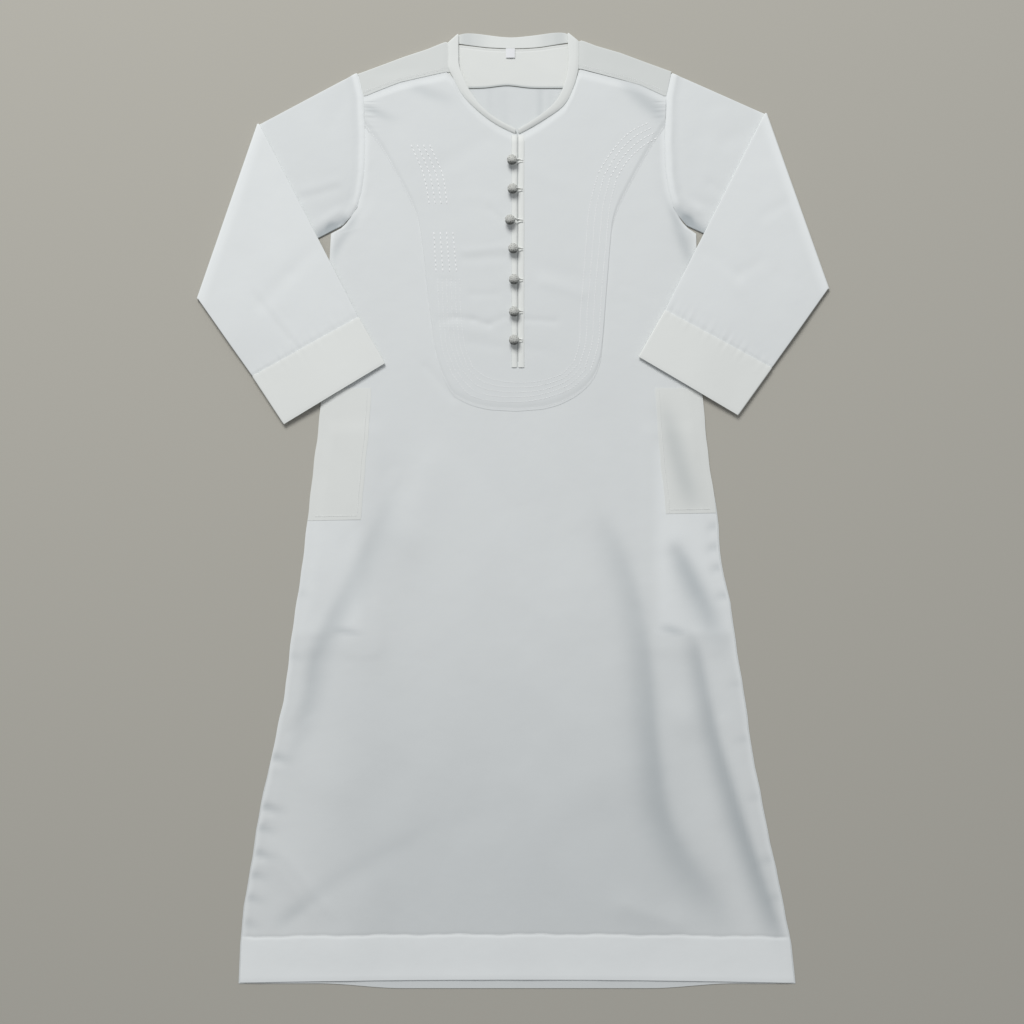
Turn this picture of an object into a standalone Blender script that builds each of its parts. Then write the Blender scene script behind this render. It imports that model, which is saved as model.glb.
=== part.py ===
"""Thobe robe laid flat on its back, face up, with both sleeves folded over at the elbow.

The hem is toward -Y, the neck toward +Y, and +Z is up from the surface it lies on.
Sizes in the tables are in millimetres. Each piece of cloth is one closed wall.
"""

import math

import bmesh
import bpy
import numpy as np
from mathutils import Vector

for old in list(bpy.data.objects):
    bpy.data.objects.remove(old, do_unlink=True)

MM = 0.001

# Walls and gaps
CLOTH = 1.0
DOUBLE = 1.6
YOKE_WALL = 1.8
SEAM_GAP = 0.35

# Heights of the layers over the surface
FRONT_UNDER = 2.7
SIDE_UNDER = 1.35
YOKE_INNER_GAP = 0.6
LOFT_MOST = 2.1
SIDE_EASE = 26.0

# Placket, buttons and loops
SLIT_LEFT = 6.25
SLIT_RIGHT = 8.25
SLIT_FOOT = 215.0
PLACKET_LEFT = (-1.2, 6.1)
PLACKET_RIGHT = (8.4, 16.7)
BUTTON_DIAMETER = 14.0
LOOP_CORD = 1.6
LOOP_RADIUS = 5.6

# Half outline of the body: height along Y, left side seam, right side seam
SIDE = (
    (-684.0, -394.8, 408.0),
    (-623.0, -392.3, 401.5),
    (-565.0, -385.8, 389.4),
    (-420.0, -361.5, 359.1),
    (-362.0, -349.8, 347.7),
    (-275.0, -331.8, 334.8),
    (-130.0, -312.8, 312.5),
    (-72.0, -303.2, 300.0),
    (15.0, -294.1, 293.0),
    (102.0, -282.9, 280.6),
    (146.0, -279.0, 276.9),
    (290.0, -269.0, 269.0),
    (401.0, -263.0, 266.0),
)

# Armholes: height along Y, left edge, right edge
ARMHOLE = (
    (401.0, -263.0, 266.0),
    (409.0, -248.0, 254.0),
    (418.0, -239.0, 245.5),
    (440.0, -224.0, 232.5),
    (462.0, -218.0, 226.0),
    (490.0, -214.0, 221.3),
    (540.0, -212.4, 219.8),
    (600.0, -215.5, 222.4),
    (636.0, -224.5, 230.0),
)

# Shoulder fold: x, y
SHOULDER = (
    (-226.0, 632.0),
    (-192.0, 644.5),
    (-157.0, 657.6),
    (-122.5, 669.0),
    (-92.0, 681.5),
    (95.0, 683.5),
    (121.0, 673.5),
    (156.0, 663.4),
    (191.0, 650.3),
    (232.0, 635.5),
)

# Upper edge of the front panel and bib, along the yoke seams and the neck: x, y
FRONT_TOP = (
    (-217.0, 599.4),
    (-163.0, 619.0),
    (-96.0, 634.2),
    (-86.3, 626.0),
    (-73.2, 602.5),
    (-50.0, 577.8),
    (-22.5, 557.5),
    (6.25, 543.8),
    (8.25, 543.8),
    (26.0, 552.6),
    (47.0, 565.4),
    (76.0, 587.4),
    (89.0, 612.4),
    (97.0, 638.0),
    (185.0, 615.5),
    (223.0, 599.4),
)

# Front yoke seam, straight on past the neck: x, y
YOKE_FRONT = (
    (-217.0, 599.4),
    (-163.0, 619.0),
    (-96.0, 634.2),
    (97.0, 639.0),
    (185.0, 615.5),
    (223.0, 599.4),
)

# Back neck seam of the yoke: x, y
BACK_NECK = (
    (-92.8, 669.5),
    (-90.0, 671.6),
    (-80.0, 675.2),
    (-60.0, 673.0),
    (-38.0, 670.4),
    (-18.0, 669.2),
    (2.0, 668.8),
    (20.0, 669.2),
    (40.0, 670.7),
    (61.0, 674.0),
    (82.0, 676.6),
    (92.5, 673.8),
    (95.8, 671.0),
)
BACK_YOKE_SEAM = 613.0

# Lower edge of the bib: x, y
BIB_EDGE = (
    (-217.0, 559.0),
    (-195.0, 532.0),
    (-177.6, 504.0),
    (-151.5, 454.6),
    (-139.9, 431.4),
    (-131.2, 402.4),
    (-125.4, 331.3),
    (-119.6, 277.7),
    (-115.3, 241.4),
    (-106.6, 205.2),
    (-87.7, 166.0),
    (-60.0, 152.0),
    (-34.0, 145.7),
    (5.0, 143.5),
    (45.0, 146.5),
    (68.9, 153.0),
    (92.0, 165.0),
    (112.4, 182.0),
    (126.9, 206.6),
    (134.0, 247.2),
    (136.0, 305.0),
    (137.5, 367.6),
    (141.4, 402.0),
    (150.0, 431.0),
    (161.7, 454.6),
    (187.8, 504.0),
    (205.0, 532.0),
    (223.0, 559.0),
)

# Neck seam columns that the bib needs beside those of its lower edge
BIB_NECK_X = (-163.0, -96.0, -73.2, -50.0, -22.5, SLIT_LEFT, SLIT_RIGHT, 26.0, 76.0, 89.0, 97.0, 185.0)

# Buttons from the neck down: x, y
BUTTONS = (
    (-0.7, 505.3),
    (0.1, 463.7),
    (-3.6, 418.9),
    (1.2, 377.7),
    (2.2, 333.1),
    (2.2, 286.7),
    (2.2, 245.8),
)

# Soft folds of the front: start x, start y, end x, end y, rise (below zero for a trough), half width
FOLDS = (
    (-149.0, 88.0, -170.0, 45.0, -0.8, 26.0),
    (-170.0, 45.0, -218.0, -50.0, -1.0, 24.0),
    (-218.0, -50.0, -275.0, -176.0, -1.0, 26.0),
    (-275.0, -176.0, -313.0, -320.0, -0.9, 28.0),
    (-120.0, 60.0, -160.0, -40.0, 0.7, 34.0),
    (-160.0, -40.0, -215.0, -190.0, 1.0, 36.0),
    (-215.0, -190.0, -240.0, -400.0, 1.1, 40.0),
    (-331.0, -590.0, -235.0, -524.0, -0.9, 26.0),
    (-235.0, -524.0, -60.0, -441.0, -1.0, 30.0),
    (-344.0, -500.0, -284.0, -572.0, 0.8, 22.0),
    (137.0, -44.0, 182.0, -170.0, -0.9, 26.0),
    (182.0, -170.0, 198.0, -321.0, -1.1, 26.0),
    (198.0, -321.0, 218.0, -440.0, -1.0, 28.0),
    (218.0, -440.0, 314.0, -585.0, -0.9, 26.0),
    (243.0, -66.0, 285.0, -165.0, -0.7, 22.0),
    (285.0, -165.0, 302.0, -339.0, -0.7, 24.0),
    (302.0, -339.0, 333.0, -460.0, -0.8, 24.0),
    (333.0, -460.0, 380.0, -596.0, -0.8, 24.0),
    (225.0, -60.0, 250.0, -300.0, 1.0, 26.0),
    (250.0, -300.0, 290.0, -520.0, 1.0, 30.0),
    (90.0, -120.0, 120.0, -400.0, 0.9, 44.0),
    (120.0, -400.0, 160.0, -560.0, 0.9, 44.0),
    (-40.0, -60.0, -60.0, -330.0, 0.6, 60.0),
    (20.0, -420.0, -20.0, -600.0, 0.7, 60.0),
    (-180.0, -470.0, -230.0, -640.0, 0.7, 40.0),
    (165.0, -572.0, 235.0, -597.0, 0.7, 22.0),
    (-133.0, 610.0, -86.0, 612.0, 0.3, 30.0),
    (163.0, 617.0, 216.0, 570.0, 0.3, 30.0),
    (-40.0, 420.0, -100.0, 330.0, 0.25, 36.0),
    (50.0, 430.0, 105.0, 320.0, 0.25, 36.0),
    (-30.0, 320.0, -80.0, 230.0, 0.25, 34.0),
    (45.0, 320.0, 90.0, 220.0, 0.25, 34.0),
)

# Pocket bags that lie inside: inner edge, distance from the side seam, top and foot
BAG_INNER = 216.0
BAG_FROM_SEAM = 34.0
BAG_TOP = 95.0
BAG_FOOT = -181.0
BAG_LIFT = 1.0

# Pocket panels: top y, foot y, and how much the foot climbs to the right
PANEL_TOP = 177.0
PANEL_FOOT = -9.0
PANEL_TILT = 5.7

# Columns of the front from its side seam (0) to the slit (1)
COLUMNS = (0.0, 0.03, 0.075, 0.13, 0.19, 0.255, 0.33, 0.405, 0.48, 0.547, 0.6, 0.66, 0.74, 0.82, 0.91, 1.0)
PANEL_COLUMN = 5

# Sleeves: sign of their side, fold at the elbow, cuff seam and cuff end, each inner then outer point
SLEEVES = {
    "left": {
        "side": -1,
        "fold": ((-367.0, 558.0), (-454.0, 306.5)),
        "seam": ((-224.0, 279.5), (-375.5, 195.5)),
        "end": ((-185.5, 212.0), (-329.5, 125.5)),
    },
    "right": {
        "side": 1,
        "fold": ((365.6, 573.5), (455.5, 321.0)),
        "seam": ((222.0, 289.5), (374.5, 207.5)),
        "end": ((183.5, 221.5), (325.0, 138.5)),
    },
}
ACROSS = (0.0, 0.06, 0.18, 0.34, 0.5, 0.66, 0.82, 0.94, 1.0)
UPPER_STEPS = (0.0, 0.07, 0.16, 0.3, 0.44, 0.58, 0.72, 0.86, 1.0)
FOREARM_STEPS = (0.08, 0.22, 0.38, 0.54, 0.7, 0.86, 1.0)
HEAD_HEIGHTS = (632.0, 600.0, 570.0, 540.0, 515.0, 490.0, 465.0, 445.0, 428.0, 413.0)
HEAD_GAPS = (1.6, 0.8, 0.8, 0.8, 0.8, 0.8, 0.8, 0.9, 1.8, 3.8)
ROLL_STEPS = 6
ROLL_AXIS = 3.2

# Neckband rulings of the left half from the front end to the middle of the back:
# seam x, seam y, free x, free y, middle height at the seam, middle height at the free edge
BAND_LEFT = (
    (4.6, 545.6, 5.6, 551.8, 3.9, 4.9),
    (-21.5, 558.3, -17.5, 563.6, 3.9, 5.2),
    (-49.3, 578.5, -42.5, 582.0, 3.9, 5.4),
    (-72.4, 602.8, -61.0, 606.0, 3.8, 5.4),
    (-85.3, 626.6, -72.5, 630.0, 3.6, 5.0),
    (-92.2, 641.6, -77.4, 644.5, 3.6, 4.4),
    (-92.2, 656.0, -78.0, 662.0, 3.6, 3.8),
    (-90.6, 673.0, -76.4, 686.0, 3.6, 3.6),
)
BAND_BACK = (
    (-80.0, 676.2, -71.0, 691.0, 0.8, 0.8),
    (-60.0, 673.6, -57.0, 691.4, 0.8, 0.8),
    (-38.0, 671.0, -37.0, 689.1, 0.8, 0.8),
    (-18.0, 669.8, -17.5, 686.6, 0.8, 0.8),
    (2.0, 669.4, 1.0, 685.7, 0.8, 0.8),
    (20.0, 669.8, 19.5, 687.3, 0.8, 0.8),
    (40.0, 671.3, 39.0, 689.6, 0.8, 0.8),
    (61.0, 674.6, 57.5, 692.2, 0.8, 0.8),
    (82.0, 677.6, 73.0, 692.5, 0.8, 0.8),
)
BAND_RIGHT = (
    (93.5, 675.0, 78.5, 688.5, 3.6, 3.6),
    (95.2, 658.0, 80.5, 664.0, 3.6, 3.8),
    (95.2, 645.0, 81.0, 647.0, 3.6, 4.4),
    (88.6, 616.0, 75.0, 617.5, 3.6, 5.0),
    (75.2, 588.6, 64.0, 594.0, 3.8, 5.4),
    (46.3, 566.6, 40.0, 572.0, 3.9, 5.4),
    (24.0, 553.2, 19.5, 558.6, 3.9, 5.2),
    (9.2, 545.4, 7.6, 551.8, 3.9, 4.9),
)
BAND_ROLL_STEPS = 4

# Tab inside the back neck: x, y, width, length
LABEL = (-3.0, 662.4, 13.0, 13.4)


def read(table, column, at):
    """The value of one column of a table whose first column runs upward."""
    return float(np.interp(at, [row[0] for row in table], [row[column] for row in table]))


def ease(t):
    """A smooth step from 0 to 1."""
    t = min(1.0, max(0.0, t))
    return t * t * (3.0 - 2.0 * t)


def body_edge(y, column):
    """The side seam below the armpit, and the armhole above it."""
    return read(SIDE if y <= ARMHOLE[0][0] else ARMHOLE, column, y)


def hem_front(x):
    """The lower edge of the front, a little higher in its middle."""
    return -684.0 + 4.5 * (1.0 - min(1.0, (x / 400.0) ** 2))


def hem_back(x):
    """The lower edge of the back, which hangs past the front in its middle."""
    return -685.5 - 6.9 * ease((300.0 - abs(x - 20.0)) / 120.0)


def bag_outer(y, column):
    """The outer edge of a pocket bag, set in from the side seam."""
    return abs(body_edge(y, column)) - BAG_FROM_SEAM


def over_bag(x, y, soft=26.0):
    """How far a point lies over a pocket bag, eased over a soft border."""
    outer = bag_outer(y, 1 if x < 0.0 else 2)
    reach = soft + 14.0
    across = ease((abs(x) - BAG_INNER + reach) / soft) * ease((outer + reach - abs(x)) / soft)
    down = ease((y - BAG_FOOT + reach) / soft) * ease((BAG_TOP + reach - y) / soft)
    return across * down


def fold_height(x, y, fold):
    """The rise of one soft fold at a point."""
    x0, y0, x1, y1, rise, wide = fold
    dx = x1 - x0
    dy = y1 - y0
    t = ((x - x0) * dx + (y - y0) * dy) / (dx * dx + dy * dy)
    t = min(1.0, max(0.0, t))
    away = math.hypot(x - x0 - t * dx, y - y0 - t * dy)
    return rise * math.exp(-((away / wide) ** 2))


def front_under(x, y):
    """Height of the front panel's underside over the surface."""
    rise = sum(fold_height(x, y, fold) for fold in FOLDS)
    under_sleeve = ease((y - 95.0) / 60.0) * ease((abs(x) - 150.0) / 30.0)
    rise = rise * (1.0 - 0.9 * under_sleeve)
    bag = over_bag(x, y)
    rise = max(rise, -1.1 + 0.2 * bag) + BAG_LIFT * bag
    rise = min(rise, LOFT_MOST)
    left = body_edge(y, 1)
    right = body_edge(y, 2)
    near = ease(min(x - left, right - x) / SIDE_EASE)
    near = near + (1.0 - near) * ease((y - 430.0) / 90.0)
    hem = ease((y - hem_front(x)) / 60.0)
    full = FRONT_UNDER + rise
    full = SIDE_UNDER + (full - SIDE_UNDER) * (0.45 + 0.55 * hem)
    return SIDE_UNDER + (full - SIDE_UNDER) * near


def material(name, colour, roughness):
    """A plain finish for one piece."""
    made = bpy.data.materials.new(name)
    made.use_nodes = True
    shader = made.node_tree.nodes["Principled BSDF"]
    shader.inputs["Base Color"].default_value = (*colour, 1.0)
    shader.inputs["Roughness"].default_value = roughness
    shader.inputs["Metallic"].default_value = 0.0
    return made


garment = bpy.data.collections.new("thobe_robe")
bpy.context.scene.collection.children.link(garment)

WARM = (0.80, 0.78, 0.72)
COOL = (0.70, 0.70, 0.68)
GREY = (0.42, 0.42, 0.42)


def place(name, mesh, colour, roughness=0.85):
    """Puts a mesh into the garment with a material of its own."""
    thing = bpy.data.objects.new(name, mesh)
    mesh.materials.append(material("cloth_" + name, colour, roughness))
    garment.objects.link(thing)
    return thing


def wall(thing, thick, offset):
    """Gives an open surface its thickness."""
    solid = thing.modifiers.new("wall", "SOLIDIFY")
    solid.thickness = thick * MM
    solid.offset = offset
    solid.use_even_offset = True
    solid.use_rim = True
    return solid


def surface(name, points, keep, thick, offset, colour, closed=False):
    """A cloth surface through a grid of points, then its wall.

    points[i][j] is a point in millimetres, keep(i, j) says whether that cell has cloth,
    and closed joins the last column to the first.
    """
    shape = bmesh.new()
    rows = [[shape.verts.new(Vector(p) * MM) for p in row] for row in points]
    columns = len(rows[0]) if closed else len(rows[0]) - 1
    for i in range(len(rows) - 1):
        for j in range(columns):
            if keep(i, j):
                k = (j + 1) % len(rows[0])
                shape.faces.new((rows[i][j], rows[i][k], rows[i + 1][k], rows[i + 1][j]))
    loose = [v for v in shape.verts if not v.link_faces]
    bmesh.ops.delete(shape, geom=loose, context="VERTS")
    shape.normal_update()
    mesh = bpy.data.meshes.new(name)
    shape.to_mesh(mesh)
    shape.free()
    thing = place(name, mesh, colour)
    wall(thing, thick, offset)
    mesh.shade_smooth()
    return thing


def whole(i, j):
    """Every cell has cloth."""
    return True


# Back panel, flat on the surface, which shows a little past the front low down on both sides
BACK_COLUMNS = (0.0, 0.12, 0.22, 0.32, 0.5, 0.68, 0.78, 0.9, 1.0)
BACK_PAST = 2.2
BACK_PAST_SOFT = 60.0
BACK_PAST_LEFT = -340.0
BACK_PAST_RIGHT = 40.0


def back_points():
    levels = list(np.linspace(-684.0, 401.0, 21)) + [409.0, 418.0, 440.0, 462.0, 490.0, 540.0, 600.0]
    rows = []
    for level in levels:
        left = body_edge(level, 1) - BACK_PAST * ease((BACK_PAST_LEFT - level) / BACK_PAST_SOFT)
        right = body_edge(level, 2) + BACK_PAST * ease((BACK_PAST_RIGHT - level) / BACK_PAST_SOFT)
        row = []
        for u in BACK_COLUMNS:
            x = left + u * (right - left)
            y = hem_back(x) if level == levels[0] else level
            row.append((x, y, 0.0))
        rows.append(row)
    top = []
    for u in BACK_COLUMNS:
        left = body_edge(BACK_YOKE_SEAM, 1)
        right = body_edge(BACK_YOKE_SEAM, 2)
        top.append((left + u * (right - left), BACK_YOKE_SEAM - SEAM_GAP, 0.0))
    rows.append(top)
    return rows


surface("back_panel", back_points(), whole, CLOTH, 1.0, COOL)


# Front panel
HEM_ROWS = list(np.linspace(0.0, 1.0, 19)[1:])
LEVELS = [-684.0 + t * (PANEL_FOOT + 684.0) for t in HEM_ROWS]
LEVELS += list(np.linspace(PANEL_FOOT, PANEL_TOP, 7)[1:])
PANEL_ROWS = (18, 24)
SLIT_ROW = 26
LEVELS += [196.0, SLIT_FOOT, 246.0, 277.0, 308.0, 339.0, 370.0, 401.0]
CHEST_STEPS = (0.04, 0.086, 0.197, 0.31, 0.45, 0.62, 0.81, 1.0)


def column_x(y, j):
    """Where column j of the front crosses a height."""
    n = len(COLUMNS)
    if j < n:
        left = body_edge(y, 1)
        return left + COLUMNS[j] * (SLIT_LEFT - left)
    right = body_edge(y, 2)
    return right + COLUMNS[2 * n - 1 - j] * (SLIT_RIGHT - right)


def column_top(j):
    """The height at which column j of the front ends, tucked under the seam that covers it."""
    y = 600.0
    for _ in range(40):
        x = column_x(y, j)
        y = 0.5 * y + 0.5 * (min(read(FRONT_TOP, 1, x + near) for near in (-3.0, 0.0, 3.0)) - 0.8)
    return y


def front_points():
    count = 2 * len(COLUMNS)
    rows = [[(column_x(-684.0, j), hem_front(column_x(-684.0, j))) for j in range(count)]]
    for level in LEVELS:
        row = []
        for j in range(count):
            x = column_x(level, j)
            tilt = PANEL_TILT * x / 300.0 * math.exp(-(((level - PANEL_FOOT) / 80.0) ** 2))
            row.append((column_x(level + tilt, j), level + tilt))
        rows.append(row)
    tops = [column_top(j) for j in range(count)]
    for step in CHEST_STEPS:
        row = []
        for j in range(count):
            y = 401.0 + step * (tops[j] - 401.0)
            row.append((column_x(y, j), y))
        rows.append(row)
    return [[(x, y, front_under(x, y)) for x, y in row] for row in rows]


FRONT = front_points()
SLIT_COLUMN = len(COLUMNS) - 1


def front_keep(i, j):
    """The slit between the two plackets has no cloth."""
    return not (j == SLIT_COLUMN and i >= SLIT_ROW)


surface("front_panel", FRONT, front_keep, CLOTH, 1.0, COOL)


def raised(points, layers):
    """Points moved up by whole layers of cloth, each with its seam gap."""
    lift = layers * (CLOTH + SEAM_GAP)
    return [[(x, y, z + lift) for x, y, z in row] for row in points]


# Pocket panels, laid on cells of the front
low, high = PANEL_ROWS
left_cells = [row[: PANEL_COLUMN + 1] for row in FRONT[low : high + 1]]
right_cells = [row[-PANEL_COLUMN - 1 :] for row in FRONT[low : high + 1]]
surface("pocket_panel_left", raised(left_cells, 1), whole, CLOTH, 1.0, WARM)
surface("pocket_panel_right", raised(right_cells, 1), whole, CLOTH, 1.0, WARM)


# Pocket bags between front and back
def bag_points(column):
    rows = []
    for v in (0.0, 0.05, 0.14, 0.4, 0.7, 1.0):
        y = BAG_FOOT + v * (BAG_TOP - BAG_FOOT)
        narrow = 12.0 * (1.0 - ease(v / 0.14))
        inner = BAG_INNER + narrow
        outer = bag_outer(y, column) - narrow
        ends = (-outer, -inner) if column == 1 else (inner, outer)
        rows.append([(ends[0] + u * (ends[1] - ends[0]), y, CLOTH + SEAM_GAP) for u in (0.0, 0.5, 1.0)])
    return rows


surface("pocket_bag_left", bag_points(1), whole, CLOTH, 1.0, WARM)
surface("pocket_bag_right", bag_points(2), whole, CLOTH, 1.0, WARM)


# Bib on the chest
def bib_points():
    columns = sorted({row[0] for row in BIB_EDGE} | set(BIB_NECK_X))
    rows = []
    for v in (0.0, 0.09, 0.18, 0.3, 0.43, 0.57, 0.71, 0.86, 1.0):
        row = []
        for x in columns:
            foot = read(BIB_EDGE, 1, x)
            top = read(FRONT_TOP, 1, x) - 0.3
            y = foot + v * (top - foot)
            if x == columns[0]:
                at = body_edge(y, 1)
            elif x == columns[-1]:
                at = body_edge(y, 2)
            else:
                at = x
            row.append((at, y, front_under(at, y) + CLOTH + SEAM_GAP))
        rows.append(row)
    return columns, rows


BIB_COLUMNS, BIB = bib_points()
bib_slit = BIB_COLUMNS.index(SLIT_LEFT)
BIB_FOOT_Y = [row[bib_slit][1] for row in BIB]
slit_rows = [i for i, y in enumerate(BIB_FOOT_Y) if y >= SLIT_FOOT]


def bib_keep(i, j):
    """The slit runs through the bib too."""
    return not (j == bib_slit and i >= slit_rows[0])


surface("bib", BIB, bib_keep, CLOTH, 1.0, COOL)


# Plackets on the bib
def strip_points(span):
    rows = []
    for y in np.linspace(SLIT_FOOT - 8.0, 543.0, 15):
        row = []
        for x in span:
            row.append((x, y, front_under(x, y) + 2.0 * (CLOTH + SEAM_GAP) + 0.05))
        rows.append(row)
    return rows


surface("placket_left", strip_points(PLACKET_LEFT), whole, CLOTH, 1.0, WARM)
surface("placket_right", strip_points(PLACKET_RIGHT), whole, CLOTH, 1.0, WARM)


# Ball buttons and the loops round them
for number, (x, y) in enumerate(BUTTONS, start=1):
    top = front_under(x, y) + 3.0 * CLOTH + 2.0 * SEAM_GAP + 0.1
    radius = BUTTON_DIAMETER / 2.0
    ball = bmesh.new()
    bmesh.ops.create_uvsphere(ball, u_segments=12, v_segments=7, radius=radius * MM)
    mesh = bpy.data.meshes.new("button_" + str(number))
    ball.to_mesh(mesh)
    ball.free()
    mesh.shade_smooth()
    button = place("button_" + str(number), mesh, GREY, 0.6)
    button.location = Vector((x, y, top + 0.3 + radius)) * MM

    cord = bpy.data.curves.new("loop_" + str(number), "CURVE")
    cord.dimensions = "3D"
    cord.bevel_depth = LOOP_CORD / 2.0 * MM
    cord.bevel_resolution = 1
    cord.use_fill_caps = True
    around = [(LOOP_RADIUS * math.cos(a), LOOP_RADIUS * math.sin(a)) for a in np.radians((58, 96, 138, 180, 222, 264, 302))]
    plan = [(15.0 - x, 2.2), (9.5 - x, 3.6)] + around + [(9.5 - x, -3.6), (15.0 - x, -2.2)]
    line = cord.splines.new("POLY")
    line.points.add(len(plan) - 1)
    for spot, (dx, dy) in zip(line.points, plan):
        height = top + 0.35 + LOOP_CORD / 2.0
        spot.co = ((x + dx) * MM, (y + dy) * MM, height * MM, 1.0)
    loop = bpy.data.objects.new("loop_" + str(number), cord)
    cord.materials.append(material("cord_loop_" + str(number), GREY, 0.8))
    garment.objects.link(loop)


# Yoke, across the back and folded over both shoulders
def yoke_columns():
    left = [("left", s) for s in (0.0, 0.15, 0.3, 0.451, 0.63, 0.82, 1.0)]
    neck = [("neck", s) for s in (0.005, 0.02, 0.075, 0.18, 0.29, 0.4, 0.503, 0.6, 0.7, 0.81, 0.92, 0.975, 0.995)]
    right = [("right", s) for s in (1.0, 0.82, 0.63, 0.451, 0.321, 0.15, 0.0)]
    return left + neck + right


YOKE_NECK = (-93.6, 96.6)


def yoke_x(kind, s, y):
    if kind == "left":
        edge = body_edge(y, 1)
        return edge + s * (YOKE_NECK[0] - edge)
    if kind == "right":
        edge = body_edge(y, 2)
        return edge + s * (YOKE_NECK[1] - edge)
    return YOKE_NECK[0] + s * (YOKE_NECK[1] - YOKE_NECK[0])


def yoke_points():
    bend = (YOKE_WALL + YOKE_INNER_GAP) / 2.0
    low_mid = YOKE_WALL / 2.0
    columns = yoke_columns()
    rows = []
    for v in (0.0, 0.35, 0.7, 1.0):
        row = []
        for kind, s in columns:
            x = yoke_x(kind, s, 640.0)
            crest = read(SHOULDER, 1, x) - bend - YOKE_WALL / 2.0
            if kind == "neck":
                crest = read(BACK_NECK, 1, x) - SEAM_GAP
            y = BACK_YOKE_SEAM + v * (crest - BACK_YOKE_SEAM)
            row.append((yoke_x(kind, s, y), y, low_mid))
        rows.append(row)
    for angle in np.radians((-54.0, -18.0, 18.0, 54.0)):
        row = []
        for kind, s in columns:
            x = yoke_x(kind, s, 640.0)
            crest = read(SHOULDER, 1, x) - bend - YOKE_WALL / 2.0
            y = crest + bend * math.cos(angle)
            row.append((x, y, low_mid + bend + bend * math.sin(angle)))
        rows.append(row)
    for v in (0.0, 0.5, 1.0):
        row = []
        for kind, s in columns:
            x = yoke_x(kind, s, 640.0)
            crest = read(SHOULDER, 1, x) - bend - YOKE_WALL / 2.0
            foot = read(YOKE_FRONT, 1, yoke_x(kind, s, 617.0)) + 0.9
            y = crest + v * (foot - crest)
            row.append((yoke_x(kind, s, y), y, low_mid + 2.0 * bend))
        rows.append(row)
    return columns, rows


YOKE_COLUMNS, YOKE = yoke_points()


def yoke_keep(i, j):
    """Over the neck opening the yoke has its back part only."""
    over_neck = YOKE_COLUMNS[j][0] == "neck" or YOKE_COLUMNS[j + 1][0] == "neck"
    return not (over_neck and i >= 3)


surface("yoke", YOKE, yoke_keep, YOKE_WALL, 0.0, WARM)


# Neckband, one strip folded flat at both neck points
def band_roll(seam, free, upper, lower, steps):
    """Rulings that roll from the upper layer round the fold line to the lower one."""
    axis = (upper + lower) / 2.0
    bend = (upper - lower) / 2.0
    dx = free[0] - seam[0]
    dy = free[1] - seam[1]
    out = Vector((-dy, dx)).normalized()
    if out.y < 0.0:
        out = -out
    made = []
    for k in range(1, steps):
        angle = math.pi * k / steps
        push = bend * math.sin(angle)
        z = axis + bend * math.cos(angle)
        made.append((seam[0] + out.x * push, seam[1] + out.y * push, free[0] + out.x * push, free[1] + out.y * push, z, z))
    return made


def band_rulings():
    left_fold = BAND_LEFT[-1]
    right_fold = BAND_RIGHT[0]
    lines = list(BAND_LEFT)
    lines += band_roll(left_fold[:2], left_fold[2:4], 3.6, 0.8, BAND_ROLL_STEPS)
    lines.append((*left_fold[:4], 0.8, 0.8))
    lines += list(BAND_BACK)
    lines.append((*right_fold[:4], 0.8, 0.8))
    lines += band_roll(right_fold[:2], right_fold[2:4], 3.6, 0.8, BAND_ROLL_STEPS)[::-1]
    lines += list(BAND_RIGHT)
    return lines


def band_points():
    rows = []
    for sx, sy, fx, fy, sz, fz in band_rulings():
        rows.append([(sx + t * (fx - sx), sy + t * (fy - sy), sz + t * (fz - sz)) for t in (0.0, 0.5, 1.0)])
    return rows


surface("neckband", band_points(), whole, DOUBLE, 0.0, WARM)


# Tab inside the back neck
label_x, label_y, label_wide, label_long = LABEL
bpy.ops.mesh.primitive_cube_add(size=1.0)
label = bpy.context.object
label.name = "size_label"
label.data.name = "size_label"
label.scale = (label_wide * MM, label_long * MM, CLOTH * MM)
label.location = Vector((label_x, label_y, YOKE_WALL + SEAM_GAP + CLOTH / 2.0)) * MM
bpy.ops.object.transform_apply(location=False, rotation=False, scale=True)
for held in list(label.users_collection):
    held.objects.unlink(label)
garment.objects.link(label)
label.data.materials.append(material("cloth_size_label", (0.85, 0.85, 0.85), 0.6))


# Sleeves and cuffs
def sleeve_head(side):
    """The sleeve's own edge along the armhole, from the shoulder to the underarm."""
    column = 1 if side < 0 else 2
    return [(body_edge(y, column) + side * gap, y) for y, gap in zip(HEAD_HEIGHTS, HEAD_GAPS)]


def along(line, t):
    """The point a share t of the way along a plan line, by length."""
    steps = [math.hypot(b[0] - a[0], b[1] - a[1]) for a, b in zip(line, line[1:])]
    reach = np.concatenate([[0.0], np.cumsum(steps)])
    at = t * reach[-1]
    x = float(np.interp(at, reach, [p[0] for p in line]))
    y = float(np.interp(at, reach, [p[1] for p in line]))
    return x, y


def between(first, second, t, w):
    """A point on the ruled plan between two lines."""
    a = along(first, t)
    b = along(second, t)
    return a[0] + w * (b[0] - a[0]), a[1] + w * (b[1] - a[1])


def square_to(start, end, toward):
    """The plan direction square to an edge that points the given way."""
    run = Vector((end[0] - start[0], end[1] - start[1])).normalized()
    out = Vector((run.y, -run.x))
    return out if out.dot(Vector(toward)) > 0.0 else -out


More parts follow.
